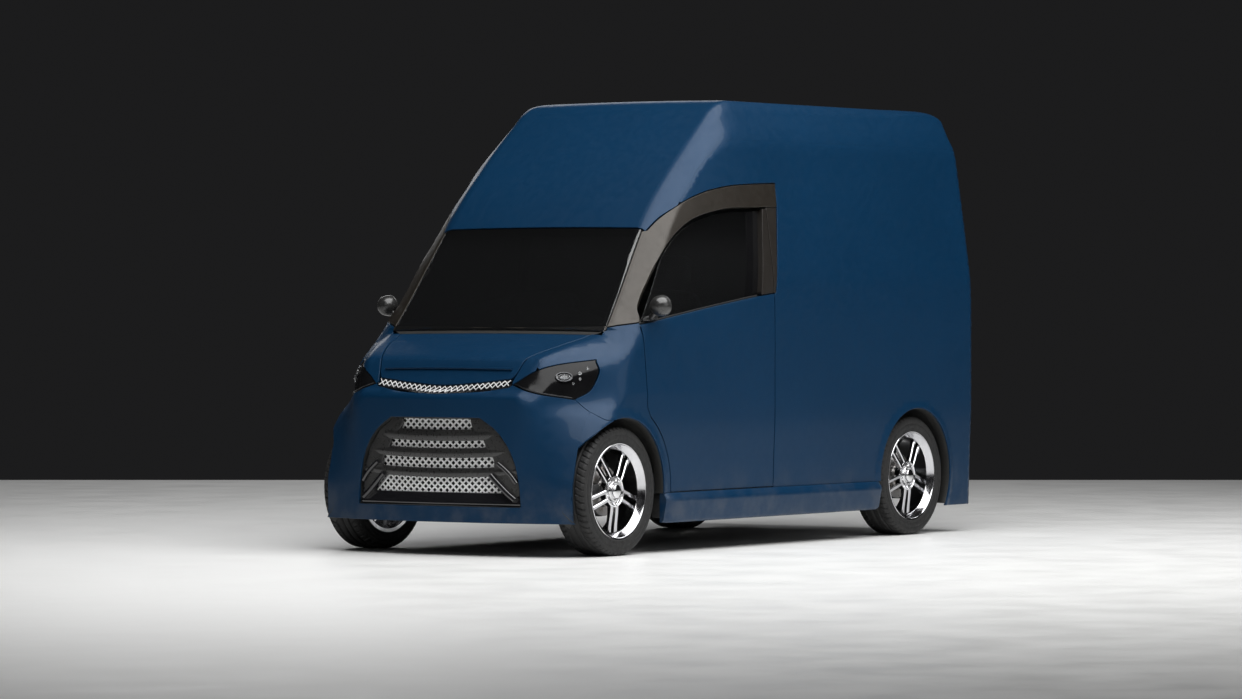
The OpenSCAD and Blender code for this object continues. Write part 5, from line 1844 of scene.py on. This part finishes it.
    def tyre(self):
        """Tyre with a bead, a raised ring on each wall, shoulder blocks and three grooves."""
        wheels = sizes("van_wheels")
        w, r, b = TYRE_W / 2, TYRE_R, RIM_R
        wall = [
            (b + 0.0005, w - 0.014), (b + 0.0005, w - 0.0055), (b + 0.004, w - 0.0020),
            (b + 0.010, w - 0.0018), (b + 0.0115, w - 0.0030), (b + 0.014, w - 0.0012),
            (b + 0.024, w - 0.0002), (b + 0.0335, w), (b + 0.036, w - 0.0016),
            (b + 0.0385, w - 0.0002)]
        shoulder = [
            (r - 0.024 + 0.024 * math.cos(a), w - 0.024 + 0.024 * math.sin(a))
            for a in np.radians(np.linspace(78, 14, 9))]
        tread = [(r - 0.0008 * abs(y / 0.05) ** 2, y) for y in np.linspace(w - 0.026, -w + 0.026,
                                                                           25)]
        outer = wall + shoulder + tread
        outer += [(p[0], -p[1]) for p in shoulder[::-1]] + [(p[0], -p[1]) for p in wall[::-1]]
        inner = [(b + 0.016, -w + 0.018), (b + 0.030, -w + 0.020), (b + 0.044, -w + 0.034),
                 (b + 0.046, 0.0), (b + 0.044, w - 0.034), (b + 0.030, w - 0.020),
                 (b + 0.016, w - 0.018)]
        profile = np.array(outer + inner)
        count = wheels.tread_blocks * 8
        angle = np.linspace(0, 2 * math.pi, count, endpoint=False)
        radius = np.repeat(profile[:, 0][None], count, axis=0)
        across = np.repeat(profile[:, 1][None], count, axis=0)
        tread_band = np.arange(len(profile))[None] < len(outer)
        tread_band = tread_band & (radius > r - 0.010)
        ring = np.zeros_like(radius)
        for middle in (-0.034, 0.0, 0.034):
            ring = np.maximum(ring, smooth(1 - (np.abs(across - middle) - 0.0030) / 0.0028))
        phase = angle[:, None] * wheels.tread_blocks / (2 * math.pi) + np.abs(across) * 14
        slot = np.abs(phase % 1.0 - 0.5) < 0.10
        slot = slot & (np.abs(across) > 0.040)
        cut = np.maximum(ring, slot * 0.8) * wheels.groove_depth * tread_band
        radius = radius - cut
        rows = np.stack(
            [radius * np.cos(angle)[:, None], across, radius * np.sin(angle)[:, None]], axis=-1)
        return lofted(rows, closed=True)


# ---------------------------------------------------------------- rear bumper, cab and cargo space
class VAN_OT_tail_end(bpy.types.Operator):
    """Rear bumper with its step pad and reflectors"""

    bl_idname = "van.tail_end"
    bl_label = "Rear bumper"

    def execute(self, context):
        half = REAR_POST_Y - 0.0015
        section = round_corners([
            (REAR_X + 0.058, 0.148), (REAR_X + 0.058, 0.299), (REAR_X + 0.002, 0.299),
            (REAR_X, 0.286), (REAR_X, 0.160), (REAR_X + 0.010, 0.148)], 0.008, 4)
        bar = extruded(section, -half, half, "Y", 0.0)
        piece("rear_bumper_skin", bar, finish("body_paint"), "body", ["rear_bumper"])
        pad = block((REAR_X - 0.0035, -0.470, 0.236), (REAR_X + 0.004, 0.470, 0.282), 0.003)
        tree = Tree("step_ribs")
        wide = tree.size("Rib width", 0.006)
        points = [(REAR_X - 0.0042, y, 0.259) for y in np.arange(-0.455, 0.4551, 0.014)]
        size = tree.size("Rib height", 0.038)
        tree.finished(tree.on_points(
            tree.points, tree.box(0.0030, wide, size)), finish("moulded"))
        mesh = tree.made("step_ribs", points)
        planted("step_ribs", mesh, "body")
        piece("step_pad", pad, finish("moulded"), "body")
        lamps = [block((REAR_X - 0.004, s * 0.500, 0.176), (REAR_X + 0.002, s * 0.548, 0.210),
                       0.003)
                 for s in (1, -1)]
        piece("rear_reflectors", joined(*lamps), finish("red_lens"), "body")
        return {"FINISHED"}


class VAN_OT_cab(bpy.types.Operator):
    """Dashboard, steering wheel and the two seats"""

    bl_idname = "van.cab"
    bl_label = "Cab"

    def execute(self, context):
        self.dashboard()
        self.steering_wheel()
        self.seats()
        return {"FINISHED"}

    def dashboard(self):
        section = round_corners([
            (1.224, 0.702), (1.224, 0.910), (1.122, 0.928), (1.034, 0.903), (0.993, 0.851),
            (1.012, 0.762), (1.080, 0.702)], 0.030, 6)
        body = extruded(section, -0.556, 0.556, "Y", 0.012)
        hood = extruded(round_corners([(1.010, 0.880), (1.150, 0.918), (1.150, 0.9445),
                                       (1.028, 0.9440)], 0.012, 4), 0.190, 0.470, "Y", 0.010)
        shelf = block((1.000, -0.500, 0.790), (1.040, -0.180, 0.800), 0.004)
        vents = [block((0.9925, y - 0.045, 0.838), (1.010, y + 0.045, 0.886), 0.006, 3)
                 for y in (-0.480, -0.130, 0.130, 0.500)]
        piece("dashboard_shell", joined(body, hood), finish("dash"), "body",
              ["dashboard"])
        piece("dashboard_trim", joined(shelf, *vents), finish("satin"), "body")
        tree = Tree("vent_slats")
        length = tree.size("Slat length", 0.080)
        points = [(0.9915, y, z) for y in (-0.480, -0.130, 0.130, 0.500)
                  for z in np.arange(0.845, 0.881, 0.008)]
        tree.finished(tree.on_points(tree.points, tree.turned(
            tree.box(0.008, length, 0.0016), (0, 0.4, 0))), finish("moulded"))
        planted("vent_slats", tree.made("vent_slats", points), "body")
        faces = [block((1.0085, 0.215, 0.889), (1.0155, 0.445, 0.9395), 0.003),
                 block((1.0120, -0.110, 0.860), (1.0220, 0.110, 0.9450), 0.004)]
        piece("dashboard_screens", joined(*faces), finish("screen"), "body")

    def steering_wheel(self):
        joint = Matrix.Translation((0.930, 0.330, 0.905)) @ Matrix.Rotation(
            math.radians(-62), 4, "Y")
        ring = [(0.175 * math.cos(a), 0.175 * math.sin(a), 0) for a in
                np.linspace(0, 2 * math.pi, 96, endpoint=False)]
        grip = sweep(ring, [(0.0125 * math.cos(a) * (1 + 0.05 * math.cos(4 * a)),
                             0.0120 * math.sin(a))
                            for a in np.linspace(0, 2 * math.pi, 14, endpoint=False)], closed=True)
        parts = [grip]
        for a in (60, 180, 300):
            run = [(0.030, 0, -0.001), (0.080, 0, -0.004), (0.130, 0, -0.003), (0.172, 0, 0)]
            arm = sweep(through(run, 0.02), bar_section(0.026, 0.010, 0.004))
            parts.append(placed(arm, Matrix.Rotation(math.radians(a), 4, "Z")))
        parts.append(placed(lathe([(0, -0.016), (0.040, -0.016), (0.0415, -0.010), (0.0400, 0.008),
                             (0.034, 0.0145), (0.018, 0.0168), (0, 0.0170)], 64, closed=False),
                      Matrix.Rotation(math.pi / 2, 4, "X")))
        shape = placed(joined(*parts), joint)
        piece("steering_wheel_rim", shape, finish("dash"), "steering_wheel",
              ["steering_wheel"])
        column = sweep([(0.955, 0.330, 0.8915), (1.000, 0.330, 0.868), (1.060, 0.330, 0.836)],
                       bar_section(0.070, 0.060, 0.018, 4))
        piece("column_shroud", column, finish("moulded"), "body")

    def cushion(self, size, crown, name, matrix, look, channels=0, side=0.0):
        """Crowned pad with pulled-in corners and sewn channels, one closed mesh."""
        bm = bmesh.new()
        bmesh.ops.create_cube(bm, size=2.0)
        bmesh.ops.subdivide_edges(bm, edges=bm.edges[:], cuts=22, use_grid_fill=True)
        points = np.array([v.co[:] for v in bm.verts])
        x, y, z = points.T
        norm = (np.abs(x) ** 5 + np.abs(y) ** 5 + np.abs(z) ** 5) ** (1 / 5)
        puff = points / norm[:, None]
        u, v = puff[:, 0], puff[:, 1]
        bulge = (1 - u ** 2) * (1 - v ** 2)
        puff[:, 2] *= 0.72 + 0.28 * bulge ** 0.5
        seam = np.zeros(len(u))
        for k in range(channels):
            at = -0.55 + 1.1 * k / max(1, channels - 1)
            seam = np.maximum(seam,
                              np.exp(-((u - at) / 0.035) ** 2) * smooth((0.66 - np.abs(v)) / 0.04))
        for edge in (-0.70, 0.70):
            seam = np.maximum(seam,
                              np.exp(-((v - edge) / 0.028) ** 2)
                              * smooth((0.88 - np.abs(u)) / 0.05))
        top = puff[:, 2] > 0.1
        bolster = smooth((np.abs(v) - 0.70) / 0.22) * side
        puff[:, 2] += np.where(top, bolster - seam * crown, 0)
        puff = puff * (np.array(size) / 2)
        for vert, p in zip(bm.verts, puff):
            vert.co = p
        shape = placed(taken(bm), matrix)
        obj = piece(name, shape, finish(look), "body", angle=80)
        return obj

    def seats(self):
        base = 0.407
        frames = []
        for name, side in (("left", 1), ("right", -1)):
            y = side * 0.330
            pad = self.cushion((0.455, 0.405, 0.120), 0.16, f"seat_cushion_{name}",
                               Matrix.Translation((0.655, y, base + 0.178)), "fabric", 3, 0.30)
            lean = Matrix.Translation((0.430, y, base + 0.220)) @ Matrix.Rotation(
                math.radians(-12), 4, "Y")
            up = lean @ Matrix.Translation((0.050, 0, 0.262)) @ Matrix.Rotation(
                math.radians(90), 4, "Y") @ Matrix.Diagonal((-1, 1, 1, 1))
            self.cushion((0.520, 0.390, 0.098), 0.16, f"seat_back_{name}", up, "fabric", 4, 0.30)
            head = Matrix.Translation((0.322, y, base + 0.728)) @ Matrix.Rotation(
                math.radians(-12), 4, "Y") @ Matrix.Translation((0.050, 0,
                                                                 0.085)) @ Matrix.Rotation(
                    math.radians(90), 4, "Y") @ Matrix.Diagonal((-1, 1, 1, 1))
            self.cushion((0.160, 0.210, 0.076), 0.05, f"head_rest_{name}", head, "fabric")
            if side == 1:
                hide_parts("seats")
            frames.append(block((0.450, y - 0.190, base + 0.002), (0.865, y + 0.190, base + 0.118),
                                0.018, 3))
            for dy in (-0.05, 0.05):
                frames.append(sweep(
                    [(0.345, y + dy, base + 0.700), (0.336, y + dy, base + 0.745),
                     (0.330, y + dy, base + 0.775)], round_section(0.006, 10), up=(0, 1, 0)))
            frames.append(sweep(
                [(0.425, y - side * 0.205, base + 0.190), (0.400, y - side * 0.207, base + 0.250),
                 (0.385, y - side * 0.205, base + 0.330)], bar_section(0.014, 0.050, 0.006),
                up=(1, 0, 0)))
        piece("seat_frames", joined(*frames), finish("moulded"), "body")


class VAN_OT_structure(bpy.types.Operator):
    """Finishes of the running gear and inner steel, and the mat of the cargo space"""

    bl_idname = "van.structure"
    bl_label = "Running gear and cargo space"

    LOOKS = {
        "chassis_frame": "chassis", "battery_pack": "battery", "drive_motor": "cast",
        "rear_axle": "suspension", "front_suspension": "suspension", "floor_pan": "underseal",
        "firewall": "inner", "bulkhead": "inner", "knuckle_left": "suspension",
        "knuckle_right": "suspension", "steering_rack": "steel"}

    def execute(self, context):
        for node, look in self.LOOKS.items():
            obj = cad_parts[node]
            obj = obj if isinstance(obj, bpy.types.Object) else bpy.data.objects[obj]
            for slot in obj.material_slots:
                slot.material = finish(look)
            if not obj.material_slots:
                obj.data.materials.append(finish(look))
        top = 0.4072
        mat = block((REAR_X + 0.064, -0.505, top), (0.016, 0.505, top + 0.0022), 0.0008, 1)
        piece("load_mat", mat, finish("mat"), "body")
        tree = Tree("bulkhead_ribs")
        tall = tree.size("Rib length", 1.20)
        points = [(0.0195, y, 1.060) for y in np.arange(-0.48, 0.481, 0.12)]
        tree.finished(tree.on_points(tree.points, tree.box(
            0.0024, 0.045, tall)), finish("inner"))
        planted("bulkhead_ribs", tree.made("bulkhead_ribs", points), "body")
        return {"FINISHED"}


# ---------------------------------------------------------------- stage
CAMERA_AT = Vector((19.374, 13.068, 1.095))
CAMERA_AIM = Vector((1.30, 0.711, 0.894))
FLOOR_SHIFT = -2.05


def facing(name, data, place, target):
    """A light or camera at a place, turned to a target."""
    obj = bpy.data.objects.new(name, data)
    obj.location = place
    obj.rotation_euler = (target - Vector(place)).to_track_quat("-Z", "Y").to_euler()
    bpy.context.scene.collection.objects.link(obj)
    return obj


class VAN_OT_stage(bpy.types.Operator):
    """Pale floor, soft studio lights and the camera"""

    bl_idname = "van.stage"
    bl_label = "Stage"

    def execute(self, context):
        stage = sizes("van_stage")
        scene = context.scene
        half = stage.floor_size / 2
        ahead = CAMERA_AIM - CAMERA_AT
        ahead.z = 0
        ahead.normalize()
        aside = Vector((-ahead.y, ahead.x, 0))
        corners = [aside * a * half + ahead * (b * half + FLOOR_SHIFT)
                   for a, b in ((-1, 1), (-1, -1), (1, -1), (1, 1))]
        mesh = bpy.data.meshes.new("floor")
        mesh.from_pydata([tuple(c) for c in corners], [], [(0, 1, 2, 3)])
        if mesh.polygons[0].normal.z < 0:
            mesh.flip_normals()
        mesh.materials.append(finish("studio_floor"))
        floor = bpy.data.objects.new("floor", mesh)
        scene.collection.objects.link(floor)
        world = bpy.data.worlds.new("studio")
        world.use_nodes = True
        background = world.node_tree.nodes["Background"]
        background.inputs["Color"].default_value = (0.0115, 0.0115, 0.0120, 1)
        background.inputs["Strength"].default_value = 1.0
        scene.world = world
        scene.view_settings.view_transform = "Standard"
        for name, place, size, power in (
                ("overhead", (1.2, 2.6, 6.0), (9.0, 7.0), stage.key_power),
                ("left_side", (-1.5, 10.0, 3.0), (7.0, 2.5), stage.fill_power),
                ("front", (10.0, 2.5, 4.5), (4.0, 2.0), stage.fill_power * 0.25),
                ("rear_right", (-7.0, -7.0, 4.0), (5.0, 3.0), stage.fill_power)):
            light = bpy.data.lights.new(name, "AREA")
            light.shape = "RECTANGLE"
            light.size, light.size_y = size
            light.energy = power
            facing(name, light, place, Vector((0.2, 0.1, 0.9)))
        camera = bpy.data.cameras.new("camera")
        camera.lens, camera.sensor_width = stage.lens, 36.0
        camera.clip_end = 200
        scene.camera = facing("camera", camera, CAMERA_AT, CAMERA_AIM)
        return {"FINISHED"}


OPERATORS = (
    VAN_OT_shell, VAN_OT_rear_doors, VAN_OT_screen, VAN_OT_pillars, VAN_OT_doors, VAN_OT_nose,
    VAN_OT_grille, VAN_OT_lamps, VAN_OT_mirrors, VAN_OT_wheels, VAN_OT_tail_end, VAN_OT_cab,
    VAN_OT_structure, VAN_OT_stage)


class VAN_PT_panel(bpy.types.Panel):
    """Sizes, colours and the pieces of the van"""

    bl_idname = "VAN_PT_panel"
    bl_label = "Electric Cargo Van"
    bl_space_type = "VIEW_3D"
    bl_region_type = "UI"
    bl_category = "Van"

    def draw(self, context):
        for group in GROUPS:
            box = self.layout.box()
            box.label(text=group.replace("_", " ").title())
            values = sizes(group)
            for name in values.__annotations__:
                box.prop(values, name)
        for operator in OPERATORS:
            self.layout.operator(operator.bl_idname)


CLASSES = (*GROUPS.values(), *OPERATORS, VAN_PT_panel)


def register():
    for item in CLASSES:
        bpy.utils.register_class(item)
    for name, group in GROUPS.items():
        setattr(bpy.types.Scene, name, PointerProperty(type=group))


def unregister():
    for name in GROUPS:
        delattr(bpy.types.Scene, name)
    for item in reversed(CLASSES):
        bpy.utils.unregister_class(item)


def main():
    register()
    for operator in OPERATORS:
        getattr(bpy.ops.van, operator.bl_idname.split(".")[1])()


if __name__ == "__main__":
    main()
